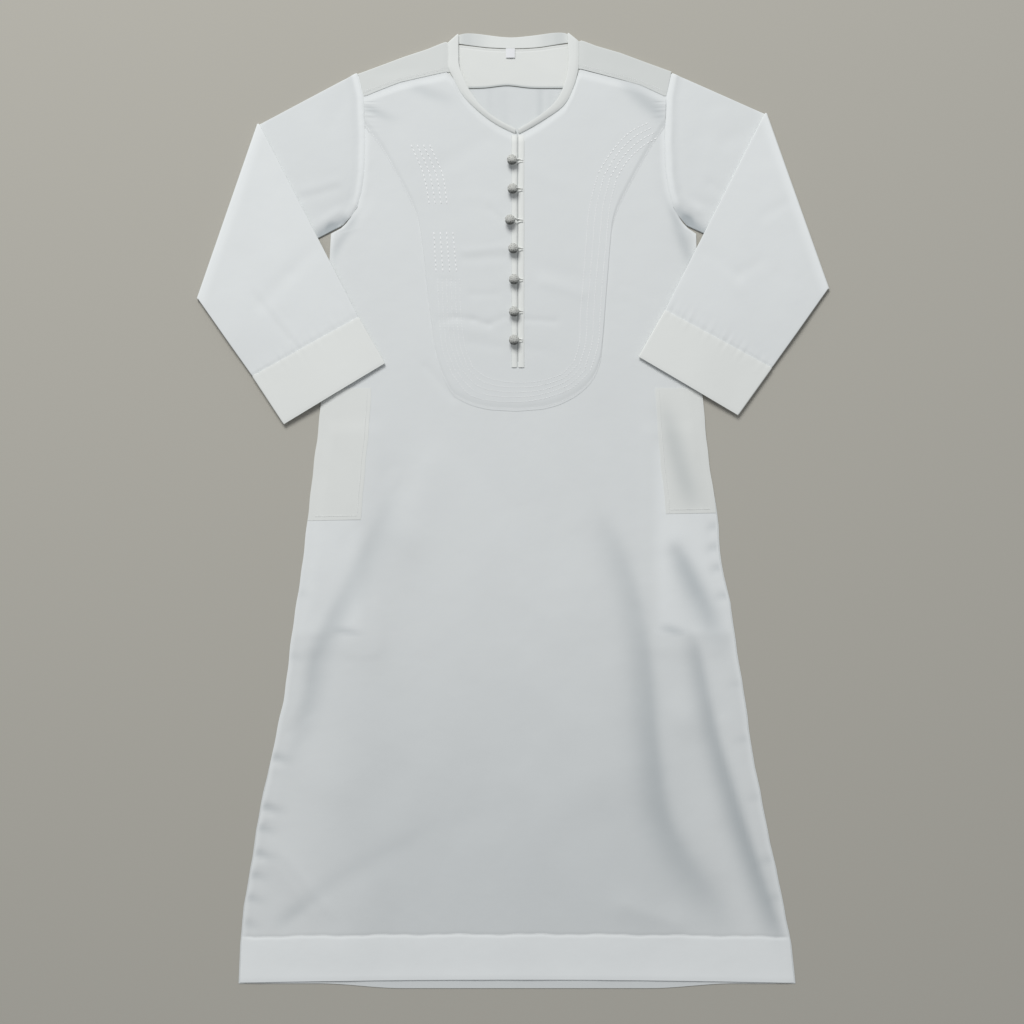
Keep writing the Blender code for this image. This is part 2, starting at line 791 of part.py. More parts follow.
def tube_ring(plan, height_a, height_b, out_last, out_first):
    """One ring of a flattened tube: its first face, an edge, its second face, an edge."""
    ring = [(*plan(t), height_a(t)) for t in ACROSS]
    for t, out in ((1.0, out_last), (0.0, out_first)):
        tip = Vector(plan(t))
        za = height_a(t)
        zb = height_b(t)
        bend = abs(zb - za) / 2.0
        turns = (-45.0, 0.0, 45.0) if t == 1.0 else (45.0, 0.0, -45.0)
        for turn in np.radians(turns):
            spot = tip + out * bend * math.cos(turn)
            ring.append((spot.x, spot.y, (za + zb) / 2.0 + (zb - za) / 2.0 * math.sin(turn)))
        if t == 1.0:
            ring += [(*plan(s), height_b(s)) for s in reversed(ACROSS)]
    return ring


def sleeve_rings(facts):
    head = sleeve_head(facts["side"])
    fold = facts["fold"]
    seam = facts["seam"]
    rings = []
    under = square_to(head[-1], fold[1], (0.0, -1.0))
    over = square_to(head[0], fold[0], (0.0, 1.0))
    line = Vector(fold[1]) - Vector(fold[0])
    line.normalize()
    flat_a = CLOTH / 2.0
    for w in UPPER_STEPS:
        seam_roll = 1.0 - ease(w / 0.14)
        swell = math.sin(math.pi * min(1.0, w * 1.05))

        def upper_b(t, w=w, roll=seam_roll, swell=swell):
            crown = math.sin(math.pi * t) ** 0.8
            start = 2.1 + 1.1 * (1.0 - ease((t - 0.55) / 0.4)) + 0.9 * roll * ease((0.97 - t) / 0.2)
            return start + (2.1 - start) * ease(w * 1.1) + 0.9 * swell * crown

        turn = ease((w - 0.5) / 0.5)
        last = (under * (1.0 - turn) + line * turn).normalized()
        first = (over * (1.0 - turn) - line * turn).normalized()
        plan = lambda t, w=w: between(head, fold, t, w)
        rings.append(tube_ring(plan, lambda t: flat_a, upper_b, last, first))
    flat = tube_ring(lambda t: along(fold, t), lambda t: flat_a, lambda t: 2.1, line, -line)
    rings[-1] = flat
    run = Vector(fold[1]) - Vector(fold[0])
    out = Vector((run.y, -run.x)).normalized()
    if out.x * facts["side"] < 0.0:
        out = -out
    for k in range(1, ROLL_STEPS):
        angle = math.pi * k / ROLL_STEPS
        ring = []
        for x, y, z in flat:
            arm = ROLL_AXIS - z
            push = arm * math.sin(angle)
            ring.append((x + out.x * push, y + out.y * push, ROLL_AXIS - arm * math.cos(angle)))
        rings.append(ring)
    rings.append([(x, y, 2.0 * ROLL_AXIS - z) for x, y, z in flat])
    outer = square_to(fold[1], seam[1], (facts["side"], -1.0))
    inner = square_to(fold[0], seam[0], (-facts["side"], 1.0))
    for w in FOREARM_STEPS:

        def lower_b(t, w=w):
            return 4.3 + 1.7 * ease(w / 0.9) - 2.0 * ease((t - 0.4) / 0.6) * ease((w - 0.45) / 0.5)

        def lower_a(t, w=w):
            crown = math.sin(math.pi * t) ** 0.7
            return lower_b(t, w) + 1.6 + 0.9 * ease(w * 2.0) * crown + 0.5 * ease(w * 1.4)

        rings.append(tube_ring(lambda t, w=w: between(fold, seam, t, w), lower_a, lower_b, outer, inner))
    return rings


def cuff_rings(facts):
    seam = facts["seam"]
    end = facts["end"]
    run = Vector(end[0]) - Vector(seam[0])
    start = 1.0 / run.length
    outer = square_to(seam[1], end[1], (facts["side"], -1.0))
    inner = square_to(seam[0], end[0], (-facts["side"], 1.0))
    rings = []
    for w in (start, 0.35, 0.7, 1.0):

        def cuff_b(t, w=w):
            return 6.3 - 2.0 * ease((t - 0.4) / 0.6)

        def cuff_a(t, w=w):
            crown = math.sin(math.pi * t) ** 0.7
            return cuff_b(t, w) + 2.4 + 0.6 * crown

        rings.append(tube_ring(lambda t, w=w: between(seam, end, t, w), cuff_a, cuff_b, outer, inner))
    return rings


for which, facts in SLEEVES.items():
    surface("sleeve_" + which, sleeve_rings(facts), whole, CLOTH, 0.0, COOL, closed=True)
    surface("cuff_" + which, cuff_rings(facts), whole, DOUBLE, 0.0, WARM, closed=True)
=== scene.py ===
# %% [markdown]
# A long cotton robe lies on its back on a pale floor, with both sleeves folded over at the
# elbow. Its CAD solids are the fixed frame: they say where each piece of cloth is and how
# high it lies. This lesson dresses them with thin cloth, sewing, buttons and finishes.

# %% Load the frame
import math

import bpy
import numpy as np
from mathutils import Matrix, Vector


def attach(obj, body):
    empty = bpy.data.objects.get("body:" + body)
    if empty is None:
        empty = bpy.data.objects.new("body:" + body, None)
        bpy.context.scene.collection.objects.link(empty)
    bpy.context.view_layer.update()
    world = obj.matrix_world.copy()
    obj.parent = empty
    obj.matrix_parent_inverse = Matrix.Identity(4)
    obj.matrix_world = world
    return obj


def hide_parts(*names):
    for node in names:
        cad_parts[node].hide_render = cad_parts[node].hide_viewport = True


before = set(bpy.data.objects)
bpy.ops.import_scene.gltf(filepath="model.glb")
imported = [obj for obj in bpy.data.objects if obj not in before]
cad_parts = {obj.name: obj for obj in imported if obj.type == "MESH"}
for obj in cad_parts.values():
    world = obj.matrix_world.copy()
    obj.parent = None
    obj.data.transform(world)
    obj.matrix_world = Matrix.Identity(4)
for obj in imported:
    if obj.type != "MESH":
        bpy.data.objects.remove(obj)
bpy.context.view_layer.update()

MM = 0.001

# %% [markdown]
# The camera looks straight down on the middle of the robe, as one does who lays it out and
# stands over it. Its height follows from the lens: a 36 mm wide sensor behind a 50 mm lens
# sees 1.485 m from 2.062 m up, which is one pixel for each 1.45 mm.

# %% Camera
PIXEL = 1.45
IMAGE_SIDE = 1024
LENS = 50.0
SENSOR = 36.0
CAMERA_MIDDLE = (-0.7, -2.2)


def camera_height():
    """The height in metres from which the lens sees the whole picture."""
    return PIXEL * IMAGE_SIDE * MM * LENS / SENSOR


bpy.ops.object.select_all(action="DESELECT")
bpy.ops.object.camera_add(
    location=(CAMERA_MIDDLE[0] * MM, CAMERA_MIDDLE[1] * MM, camera_height()), rotation=(0.0, 0.0, 0.0)
)
camera = bpy.context.object
camera.name = "overhead_camera"
camera.data.lens = LENS
camera.data.sensor_width = SENSOR
bpy.context.scene.camera = camera
print("camera height in m:", round(camera.location.z, 3))

# %% [markdown]
# A finish is built from nodes. Colours are picked as hex values, which are sRGB, so one
# function turns them into the linear numbers that a shader adds up. Another adds a node with
# its settings and its links, so that each recipe below reads as a short list of steps.

# %% Colour and node helpers
def linear(hex_colour, alpha=1.0):
    """Linear red, green, blue and alpha of an sRGB hex colour."""
    parts = [int(hex_colour[i : i + 2], 16) / 255.0 for i in (1, 3, 5)]
    return (*[c / 12.92 if c <= 0.04045 else ((c + 0.055) / 1.055) ** 2.4 for c in parts], alpha)


def add(tree, kind, values=None, links=None, **settings):
    """Adds a node, sets its properties and sockets, and links other sockets into it."""
    node = tree.nodes.new(kind)
    for name, value in settings.items():
        setattr(node, name, value)
    for socket, value in (values or {}).items():
        node.inputs[socket].default_value = value
    for socket, source in (links or {}).items():
        tree.links.new(source, node.inputs[socket])
    return node


def new_finish(name, roughness, sheen=0.0, specular=0.35):
    """A material with only its shader, whose even values sit on its own sockets."""
    made = bpy.data.materials.new(name)
    made.use_nodes = True
    shader = made.node_tree.nodes["Principled BSDF"]
    shader.inputs["Roughness"].default_value = roughness
    shader.inputs["Specular IOR Level"].default_value = specular
    shader.inputs["IOR"].default_value = 1.5
    shader.inputs["Sheen Weight"].default_value = sheen
    shader.inputs["Sheen Roughness"].default_value = 0.5
    return made, made.node_tree, shader


def per_mm(pitch):
    """The scale that makes a banded wave repeat every so many millimetres."""
    return 2.0 * math.pi / (20.0 * pitch * MM)


print("white in linear light:", [round(c, 3) for c in linear("#F2F1EC")[:3]])

# %% [markdown]
# The robe is plain-weave cotton and polyester suiting: matt, with a faint sheen. It is a
# little see-through, so where two or more layers lie on each other it looks whiter and
# warmer, and a single layer takes on a cool grey. A number on each point, named doubled, says
# how far that is so. A second number on each point is painted shade: it darkens the valleys
# where the cloth sinks onto what is under it, and other places where shade falls. Threads
# are 0.35 mm apart on real cloth; 0.9 mm is the finest that shows.

# %% Cloth finish
THREAD_PITCH = 0.9
# Cool grey of the painted shade, mixed in by a number on each point
PAINTED_SHADE_TONE = (0.57, 0.60, 0.62, 1.0)


def woven_cloth(name, single, doubled, weave=0.05, crumple=0.16):
    """Plain-weave cloth: two crossed sets of threads, a soft crumple and a slight mottle."""
    made, tree, shader = new_finish(name, 0.82, sheen=0.12)
    place = add(tree, "ShaderNodeTexCoord").outputs["Object"]
    bands = []
    for direction in ("X", "Y"):
        wave = add(
            tree, "ShaderNodeTexWave", {"Scale": per_mm(THREAD_PITCH), "Distortion": 0.6, "Detail": 1.0},
            {"Vector": place}, wave_type="BANDS", bands_direction=direction,
        )
        bands.append(wave.outputs["Fac"])
    threads = add(tree, "ShaderNodeMath", links={0: bands[0], 1: bands[1]}, operation="MULTIPLY")
    rumple = add(
        tree, "ShaderNodeTexNoise", {"Scale": 55.0, "Detail": 3.0, "Roughness": 0.5}, {"Vector": place}
    )
    mottle = add(
        tree, "ShaderNodeTexNoise", {"Scale": 9.0, "Detail": 2.0, "Roughness": 0.6}, {"Vector": place}
    )
    layers = add(tree, "ShaderNodeAttribute", attribute_name="doubled")
    pressed_and_painted_shade = add(tree, "ShaderNodeAttribute", attribute_name="pressed_and_painted_shade")
    shade = add(
        tree, "ShaderNodeMix",
        {"A": linear(single), "B": linear(doubled)}, {"Factor": layers.outputs["Fac"]}, data_type="RGBA",
    )
    tint = add(
        tree, "ShaderNodeMapRange", {"To Min": 0.975, "To Max": 1.02}, {"Value": mottle.outputs["Fac"]}
    )
    uneven = add(
        tree, "ShaderNodeVectorMath", links={0: shade.outputs["Result"], 1: tint.outputs["Result"]},
        operation="MULTIPLY",
    )
    # Painted shade: the number on each point mixes the cool grey into the colour
    darker = add(
        tree, "ShaderNodeMix", {"A": (1.0, 1.0, 1.0, 1.0), "B": PAINTED_SHADE_TONE},
        {"Factor": pressed_and_painted_shade.outputs["Fac"]}, data_type="RGBA",
    )
    tone = add(
        tree, "ShaderNodeVectorMath", links={0: uneven.outputs["Vector"], 1: darker.outputs["Result"]},
        operation="MULTIPLY",
    )
    tree.links.new(tone.outputs["Vector"], shader.inputs["Base Color"])
    fine = add(
        tree, "ShaderNodeBump", {"Strength": weave, "Distance": 0.3 * MM},
        {"Height": threads.outputs["Value"]},
    )
    soft = add(
        tree, "ShaderNodeBump", {"Strength": crumple, "Distance": 1.2 * MM},
        {"Height": rumple.outputs["Fac"], "Normal": fine.outputs["Normal"]},
    )
    waves = add(
        tree, "ShaderNodeTexNoise", {"Scale": 17.0, "Detail": 2.0, "Roughness": 0.45}, {"Vector": place}
    )
    wavy = add(
        tree, "ShaderNodeBump", {"Strength": 1.3 * crumple, "Distance": 4.0 * MM},
        {"Height": waves.outputs["Fac"], "Normal": soft.outputs["Normal"]},
    )
    tree.links.new(wavy.outputs["Normal"], shader.inputs["Normal"])
    return made


body_cloth = woven_cloth("white_plain_weave_suiting", "#E5E8E7", "#F7FAF9")
faced_cloth = woven_cloth("white_suiting_over_facing", "#E7E9E5", "#EDEFEB", crumple=0.1)
print("cloth finishes:", body_cloth.name, faced_cloth.name)

# %% [markdown]
# Sewing thread is spun polyester: each stitch is a short, bright, slightly glossy bead that
# stands out of the cloth. The ball buttons are wound from a grey cord, with painted shade in
# the grooves between its turns, and small loops of the same cord hold them.

# %% Thread, cord and tape finishes
CORD_TWIST_PITCH = 1.1


def spun_thread(name, colour, roughness):
    """Bright spun thread with a fine uneven surface."""
    made, tree, shader = new_finish(name, roughness, sheen=0.2, specular=0.5)
    place = add(tree, "ShaderNodeTexCoord").outputs["Object"]
    fuzz = add(tree, "ShaderNodeTexNoise", {"Scale": 900.0, "Detail": 2.0}, {"Vector": place})
    shade = add(
        tree, "ShaderNodeMapRange", {"To Min": 0.94, "To Max": 1.04}, {"Value": fuzz.outputs["Fac"]}
    )
    tone = add(
        tree, "ShaderNodeVectorMath", {0: linear(colour)[:3]}, {1: shade.outputs["Result"]},
        operation="MULTIPLY",
    )
    tree.links.new(tone.outputs["Vector"], shader.inputs["Base Color"])
    bump = add(
        tree, "ShaderNodeBump", {"Strength": 0.3, "Distance": 0.1 * MM}, {"Height": fuzz.outputs["Fac"]}
    )
    tree.links.new(bump.outputs["Normal"], shader.inputs["Normal"])
    return made


def wound_cord(name, ridge, painted_groove_shade):
    """Grey cord with painted shade, mixed in by a number on each point that says how much."""
    made, tree, shader = new_finish(name, 0.62, sheen=0.25, specular=0.4)
    place = add(tree, "ShaderNodeTexCoord").outputs["Object"]
    depth = add(tree, "ShaderNodeAttribute", attribute_name="painted_groove_shade")
    speckle = add(
        tree, "ShaderNodeTexNoise", {"Scale": 420.0, "Detail": 3.0, "Roughness": 0.7}, {"Vector": place}
    )
    fleck = add(
        tree, "ShaderNodeMapRange", {"From Min": 0.3, "From Max": 0.7, "To Min": 0.72, "To Max": 1.18},
        {"Value": speckle.outputs["Fac"]},
    )
    shade = add(
        tree, "ShaderNodeMix", {"A": linear(ridge), "B": linear(painted_groove_shade)}, {"Factor": depth.outputs["Fac"]},
        data_type="RGBA",
    )
    tone = add(
        tree, "ShaderNodeVectorMath", links={0: shade.outputs["Result"], 1: fleck.outputs["Result"]},
        operation="MULTIPLY",
    )
    twist = add(
        tree, "ShaderNodeTexWave", {"Scale": per_mm(CORD_TWIST_PITCH), "Distortion": 1.5}, {"Vector": place},
        wave_type="BANDS", bands_direction="DIAGONAL",
    )
    bump = add(
        tree, "ShaderNodeBump", {"Strength": 0.5, "Distance": 0.25 * MM}, {"Height": twist.outputs["Fac"]}
    )
    tree.links.new(tone.outputs["Vector"], shader.inputs["Base Color"])
    tree.links.new(bump.outputs["Normal"], shader.inputs["Normal"])
    return made


stitch_thread = spun_thread("white_spun_polyester_thread", "#FFFFFE", 0.5)
# The second colour is painted shade, for the grooves and the side away from the light
button_cord = wound_cord("grey_wound_button_cord", "#D4D5CF", "#50524E")
loop_thread = wound_cord("grey_white_loop_cord", "#F2F3EF", "#D8D9D4")
label_tape = woven_cloth("white_woven_satin_tape", "#EEEFF0", "#EEEFF0", weave=0.12, crumple=0.0)
print("thread finishes:", stitch_thread.name, button_cord.name, loop_thread.name, label_tape.name)

# %% [markdown]
# The stage is a plain pale floor. Soft light comes from beyond the neck end, so the shoulders
# are brighter than the skirt, each fold shows a light and a dark side, and the cuffs cast a
# short soft shadow toward the hem. A weak even light from all round fills the rest.

# %% Floor and light
FLOOR_DROP = 0.4
bpy.ops.object.select_all(action="DESELECT")
bpy.ops.mesh.primitive_plane_add(size=9.0, location=(0.0, 0.0, -FLOOR_DROP * MM))
floor = bpy.context.object
floor.name = "pale_floor"
floor_finish, floor_tree, floor_shader = new_finish("pale_matt_floor", 0.95, specular=0.1)
floor_place = add(floor_tree, "ShaderNodeTexCoord").outputs["Object"]
floor_grain = add(floor_tree, "ShaderNodeTexNoise", {"Scale": 400.0, "Detail": 2.0}, {"Vector": floor_place})
floor_bump = add(
    floor_tree, "ShaderNodeBump", {"Strength": 0.15, "Distance": 0.5 * MM},
    {"Height": floor_grain.outputs["Fac"]},
)
floor_tree.links.new(floor_bump.outputs["Normal"], floor_shader.inputs["Normal"])
floor_shader.inputs["Base Color"].default_value = linear("#BAB7AD")
floor.data.materials.append(floor_finish)

KEY_PLACE = Vector((-0.93, 3.48, 3.75))
KEY_POWER = 182.0
KEY_SIZE = 2.5
KEY_AIM = Vector((0.0, -0.1, 0.0))
ROOM_STRENGTH = 0.33
bpy.ops.object.light_add(type="AREA", location=KEY_PLACE)
key = bpy.context.object
key.name = "soft_key"
key.data.shape = "DISK"
key.data.size = KEY_SIZE
key.data.energy = KEY_POWER
key.rotation_euler = (KEY_AIM - KEY_PLACE).to_track_quat("-Z", "Y").to_euler()

world = bpy.context.scene.world or bpy.data.worlds.new("even_room_light")
bpy.context.scene.world = world
world.use_nodes = True
room = world.node_tree.nodes["Background"]
room.inputs["Color"].default_value = linear("#F2F5FA")
room.inputs["Strength"].default_value = ROOM_STRENGTH
bpy.context.scene.view_settings.view_transform = "Standard"
print("key light in m:", [round(c, 2) for c in KEY_PLACE], "power in W:", KEY_POWER)

# %% [markdown]
# The pattern pieces are drawn as short tables in millimetres, the same as the solids have:
# side seams, armholes, shoulder fold, front yoke seam, neck seams and the edge of the bib. A
# value between two rows is read on the straight line between them.

# %% Outline tables
# Height along Y, left edge, right edge
SIDE = (
    (-684, -394.8, 408), (-623, -392.3, 401.5), (-565, -385.8, 389.4), (-420, -361.5, 359.1),
    (-362, -349.8, 347.7), (-275, -331.8, 334.8), (-130, -312.8, 312.5), (-72, -303.2, 300),
    (15, -294.1, 293), (102, -282.9, 280.6), (146, -279, 276.9), (290, -269, 269),
    (401, -263, 266),
)
ARMHOLE = (
    (401, -263, 266), (409, -248, 254), (418, -239, 245.5), (440, -224, 232.5),
    (462, -218, 226), (490, -214, 221.3), (540, -212.4, 219.8), (600, -215.5, 222.4),
    (636, -224.5, 230),
)
# X, Y
SHOULDER = (
    (-226, 632), (-192, 644.5), (-157, 657.6), (-122.5, 669), (-92, 681.5),
    (95, 683.5), (121, 673.5), (156, 663.4), (191, 650.3), (232, 635.5),
)
SLIT_LEFT = 6.25
SLIT_RIGHT = 8.25
SLIT_FOOT = 215.0
FRONT_TOP = (
    (-217, 599.4), (-163, 619), (-96, 634.2), (-86.3, 626), (-73.2, 602.5), (-50, 577.8),
    (-22.5, 557.5), (SLIT_LEFT, 543.8), (SLIT_RIGHT, 543.8), (26.0, 552.6), (47.0, 565.4),
    (76, 587.4), (89, 612.4), (97, 638), (185, 615.5), (223, 599.4),
)
YOKE_FRONT = (
    (-217, 599.4), (-163, 619), (-96, 634.2), (97, 639), (185, 615.5), (223, 599.4),
)
BACK_NECK = (
    (-92.8, 669.5), (-90, 671.6), (-80, 675.2), (-60, 673), (-38, 670.4), (-18, 669.2),
    (2, 668.8), (20, 669.2), (40, 670.7), (61, 674), (82, 676.6), (92.5, 673.8),
    (95.8, 671),
)
BIB_EDGE = (
    (-217, 559), (-195, 532), (-177.6, 504), (-151.5, 454.6), (-139.9, 431.4),
    (-131.2, 402.4), (-125.4, 331.3), (-119.6, 277.7), (-115.3, 241.4), (-106.6, 205.2),
    (-87.7, 166), (-60, 152), (-34, 145.7), (5, 143.5), (45, 146.5), (68.9, 153),
    (92, 165), (112.4, 182), (126.9, 206.6), (134, 247.2), (136, 305), (137.5, 367.6),
    (141.4, 402), (150, 431), (161.7, 454.6), (187.8, 504), (205, 532), (223, 559),
)


def read(table, column, at):
    """One column of a table whose first column runs upward, read at any place."""
    return np.interp(at, [row[0] for row in table], [row[column] for row in table])


def ease(t):
    """A smooth step from 0 to 1."""
    t = np.clip(t, 0.0, 1.0)
    return t * t * (3.0 - 2.0 * t)


def body_edge(y, column):
    """The side seam below the armpit, and the armhole above it."""
    edge = np.where(y <= ARMHOLE[0][0], read(SIDE, column, y), read(ARMHOLE, column, y))
    drawn_in = 0.45 * np.sin(y / 21.0 + column) + 0.35 * np.sin(y / 8.7 + 2.0 * column)
    return edge + drawn_in * ease((y + 660.0) / 60.0) * ease((360.0 - y) / 60.0)


def hem_front(x):
    """The lower edge of the front, a little higher in its middle."""
    return -684.0 + 4.5 * (1.0 - np.minimum(1.0, (x / 400.0) ** 2))


def hem_back(x):
    """The lower edge of the back, which hangs past the front in its middle."""
    return -685.5 - 6.9 * ease((300.0 - np.abs(x - 20.0)) / 120.0)


print("hem width in mm:", SIDE[0][2] - SIDE[0][1], " chest width in mm:", SIDE[-1][2] - SIDE[-1][1])

# %% [markdown]
# Cloth that lies loose has long soft folds and short sharp creases. Each is a row of a table:
# the line that it follows, how far it rises or sinks, and its half width. They were laid out
# one by one, because the eye knows cloth by a few clear folds more than by many even ones.

# %% Folds and creases
# Start x, start y, end x, end y, rise (below zero for a trough), half width
FOLDS = (
    (-149, 88, -170, 45, -0.8, 26), (-170, 45, -218, -50, -1, 24),
    (-218, -50, -275, -176, -1, 26), (-275, -176, -313, -320, -0.9, 28),
    (-120, 60, -160, -40, 0.7, 34), (-160, -40, -215, -190, 1, 36),
    (-215, -190, -240, -400, 1.1, 40), (-331, -590, -235, -524, -0.3, 26),
    (-235, -524, -60, -441, -0.25, 30), (-344, -500, -284, -572, 0.8, 22),
    (137, -44, 182, -170, -0.9, 26), (182, -170, 198, -321, -1.1, 26),
    (198, -321, 218, -440, -1, 28), (218, -440, 314, -585, -0.9, 26),
    (243, -66, 285, -165, -0.7, 22), (285, -165, 302, -339, -0.7, 24),
    (302, -339, 333, -460, -0.8, 24), (333, -460, 380, -596, -0.8, 24),
    (225, -60, 250, -300, 1, 26), (250, -300, 290, -520, 1, 30),
    (90, -120, 120, -400, 0.9, 44), (120, -400, 160, -560, 0.9, 44),
    (-40, -60, -60, -330, 0.6, 60), (20, -420, -20, -600, 0.7, 60),
    (-180, -470, -230, -640, 0.7, 40), (165, -572, 235, -597, 0.7, 22),
    (-133, 610, -86, 612, 0.3, 30), (163, 617, 216, 570, 0.3, 30),
    (-40, 420, -100, 330, 0.25, 36), (50, 430, 105, 320, 0.25, 36),
    (-30, 320, -80, 230, 0.25, 34), (45, 320, 90, 220, 0.25, 34),
)
CREASES = (
    (-281, -194, -296, -291, -0.8, 9), (-296, -291, -320, -320, -0.7, 9),
    (-337, -505, -272, -589, -0.5, 5), (-330, -500, -264, -586, 0.45, 5),
    (-266, -182, -230, -178, -0.5, 5), (-235, -536, -122, -457, -0.15, 14),
    (237, -63, 286, -170, -0.9, 12), (279, -201, 298, -291, -0.8, 12),
    (298, -291, 315, -398, -0.6, 14), (315, -398, 346, -500, -0.5, 14),
    (178, -146, 189, -260, -0.4, 12), (189, -260, 214, -386, -0.4, 12),
    (214, -386, 250, -488, -0.4, 12), (250, -488, 310, -572, -0.4, 12),
    (220, 147, 267, 9, -0.5, 11), (165, -572, 236, -597, 0.4, 9),
    (-112.4, 495.2, -37, 538.7, -0.5, 15), (-34.1, 435.7, -13.8, 419.8, -0.4, 6),
    (-68.9, 374.8, -10.9, 380.6, 0.45, 6), (-68.9, 364, -10.9, 367, -0.5, 7),
    (-57.3, 312.5, -22.5, 312.5, -0.35, 6), (-124, 334.2, -83.4, 331.3, -0.35, 4),
    (-112.4, 273.3, -83.4, 279.1, -0.5, 5), (-83.4, 279.1, -57.3, 276.2, -0.6, 5),
    (-57.3, 276.2, -34.1, 269, -0.6, 5), (-34.1, 269, -9.4, 280.6, -0.5, 5),
    (-90, 266, -40, 257, 0.35, 7), (18.1, 276.2, 61.6, 273.3, -0.6, 5),
    (41.3, 351.6, 100.8, 335.7, -0.45, 12), (45, 330, 100.8, 314, 0.5, 8),
    (153, 319.7, 203.7, 325.5, -0.3, 4), (155.9, 305.2, 203.7, 313.9, -0.35, 4),
    (156, 312.5, 203.7, 319.5, 0.3, 4), (-61.6, 241.4, -18.1, 237.1, -0.35, 8),
    (-126.9, 209.5, -84.8, 161.7, -0.8, 4), (18, 236, 56, 228, -0.3, 9),
    (20, 493, 70, 470, 0.25, 12), (-60, 455, -18, 448, 0.2, 8),
    (120, 560, 160, 510, -0.3, 14), (-170, 560, -190, 520, -0.3, 12),
)
print("long folds:", len(FOLDS), " sharp creases:", len(CREASES))

# %% [markdown]
# Between its folds the front sinks onto what is under it, in valleys with soft sides. Each is
# steeper on one side than on the other, as cloth is where it slid. At the side seams the
# sewing is a little tight, so short pleats run in from them.

# %% Valleys and side puckers
# Valleys that press the cloth down and darken it with painted shade, each a smooth line through
# its rows: x, y, depth from 0 to 1, half width toward the right side, half width toward the left side
VALLEYS = {
    "right_skirt": (
        (131, -8, 0, 12, 26), (146, -44, 0.22, 13, 26), (178, -137, 0.34, 12, 25),
        (194, -225, 0.44, 11, 26), (204, -343, 0.48, 12, 28), (226, -463, 0.48, 14, 30),
        (268, -536, 0.4, 18, 32), (308, -592, 0.18, 20, 30), (330, -620, 0, 20, 30),
    ),
    "right_bag": (
        (232, -46, 0, 8, 12), (243, -66, 0.5, 10, 15), (262, -105, 0.7, 13, 19),
        (284, -150, 0.55, 14, 20), (300, -190, 0.2, 14, 18), (308, -215, 0, 12, 18),
    ),
    "right_side": (
        (256, -172, 0, 8, 14), (263, -194, 0.3, 8, 15), (282, -280, 0.55, 8, 17),
        (296, -339, 0.65, 8, 18), (314, -400, 0.72, 9, 19), (336, -470, 0.78, 9, 20),
        (358, -535, 0.72, 9, 19), (381, -601, 0.5, 8, 18), (393, -640, 0, 8, 16),
    ),
    "right_panel": (
        (216, 152, 0, 12, 10), (225, 128, 0.28, 14, 12), (240, 72, 0.4, 16, 14),
        (256, 24, 0.32, 16, 16), (266, -4, 0, 14, 16),
    ),
    "left_bag": (
        (-170, 40, 0, 26, 12), (-192, -17, 0.22, 28, 12), (-226, -92, 0.32, 26, 12),
        (-262, -160, 0.4, 22, 11), (-286, -215, 0.42, 20, 11), (-294, -270, 0.36, 18, 11),
        (-312, -330, 0.2, 16, 12), (-330, -380, 0, 14, 10),
    ),
    "left_hem": (
        (-344, -604, 0, 8, 9), (-324, -588, 0.3, 9, 11), (-292, -564, 0.2, 10, 12),
        (-250, -530, 0.1, 10, 12), (-180, -490, 0.07, 12, 13), (-100, -455, 0.04, 14, 14),
        (-30, -430, 0, 14, 14),
    ),
    "left_foot": (
        (-276, -168, 0, 4, 4), (-262, -171, 0.45, 6, 5), (-238, -176, 0.42, 6, 5),
        (-212, -180, 0, 4, 4),
    ),
    "right_foot": (
        (210, -170, 0, 4, 4), (222, -172, 0.42, 6, 5), (242, -177, 0.4, 6, 5),
        (256, -180, 0, 4, 4),
    ),
    "left_armpit": (
        (-225, 430, 0, 5, 5), (-231, 418, 0.3, 6, 6), (-245, 396, 0.4, 6, 6),
        (-257, 375, 0.3, 6, 6), (-262, 356, 0, 5, 5),
    ),
    "right_armpit": (
        (226, 450, 0, 6, 6), (232, 436, 0.3, 7, 7), (243, 402, 0.45, 8, 8),
        (252, 376, 0.4, 8, 8), (259, 348, 0, 6, 6),
    ),
    "right_shoulder": (
        (157, 620, 0, 9, 9), (170, 609, 0.3, 12, 10), (192, 591, 0.42, 13, 12),
        (210, 575, 0.4, 11, 11), (217, 556, 0, 8, 8),
    ),
    "left_shoulder": (
        (-150, 608, 0, 8, 8), (-138, 609, 0.2, 8, 8), (-118, 602, 0.24, 9, 9),
        (-98, 596, 0.16, 9, 9), (-84, 590, 0, 8, 8),
    ),
    "left_armhole": (
        (-215, 585, 0, 5, 5), (-206, 580, 0.3, 5, 5), (-190, 572, 0.26, 6, 6),
        (-168, 564, 0, 6, 6),
    ),
}
# Short pleats that run in from a side seam: side, y at the seam, length, rise
SIDE_PUCKERS = (
    (-1, -356, 42, -1.1), (-1, -372, 30, 0.8), (-1, -428, 48, -1.3), (-1, -444, 34, 0.9),
    (-1, -459, 40, -1.1), (-1, -495, 44, -1.2), (-1, -511, 30, 0.8), (-1, -527, 36, -1.1),
    (-1, -560, 40, -1), (-1, -597, 34, -0.8), (-1, -120, 26, -0.4), (-1, -210, 30, -0.5),
    (1, -22, 22, -0.9), (1, -52, 26, -1), (1, -82, 24, -1), (1, -122, 28, -0.9),
    (1, -250, 30, -0.4), (1, -330, 34, -0.5), (1, -415, 30, -0.4), (1, -505, 38, -0.6),
    (1, -560, 30, -0.5), (1, 240, 24, -0.4), (-1, 250, 24, -0.4),
)
print("valleys:", len(VALLEYS), " side puckers:", len(SIDE_PUCKERS))

# %% [markdown]
# The layers are back, pocket bags, front and bib, each about a millimetre thick in the
# solids. These are their heights in millimetres, with a function that adds up all the folds
# of a table at a point, and one that draws a smooth curve through a table's rows.

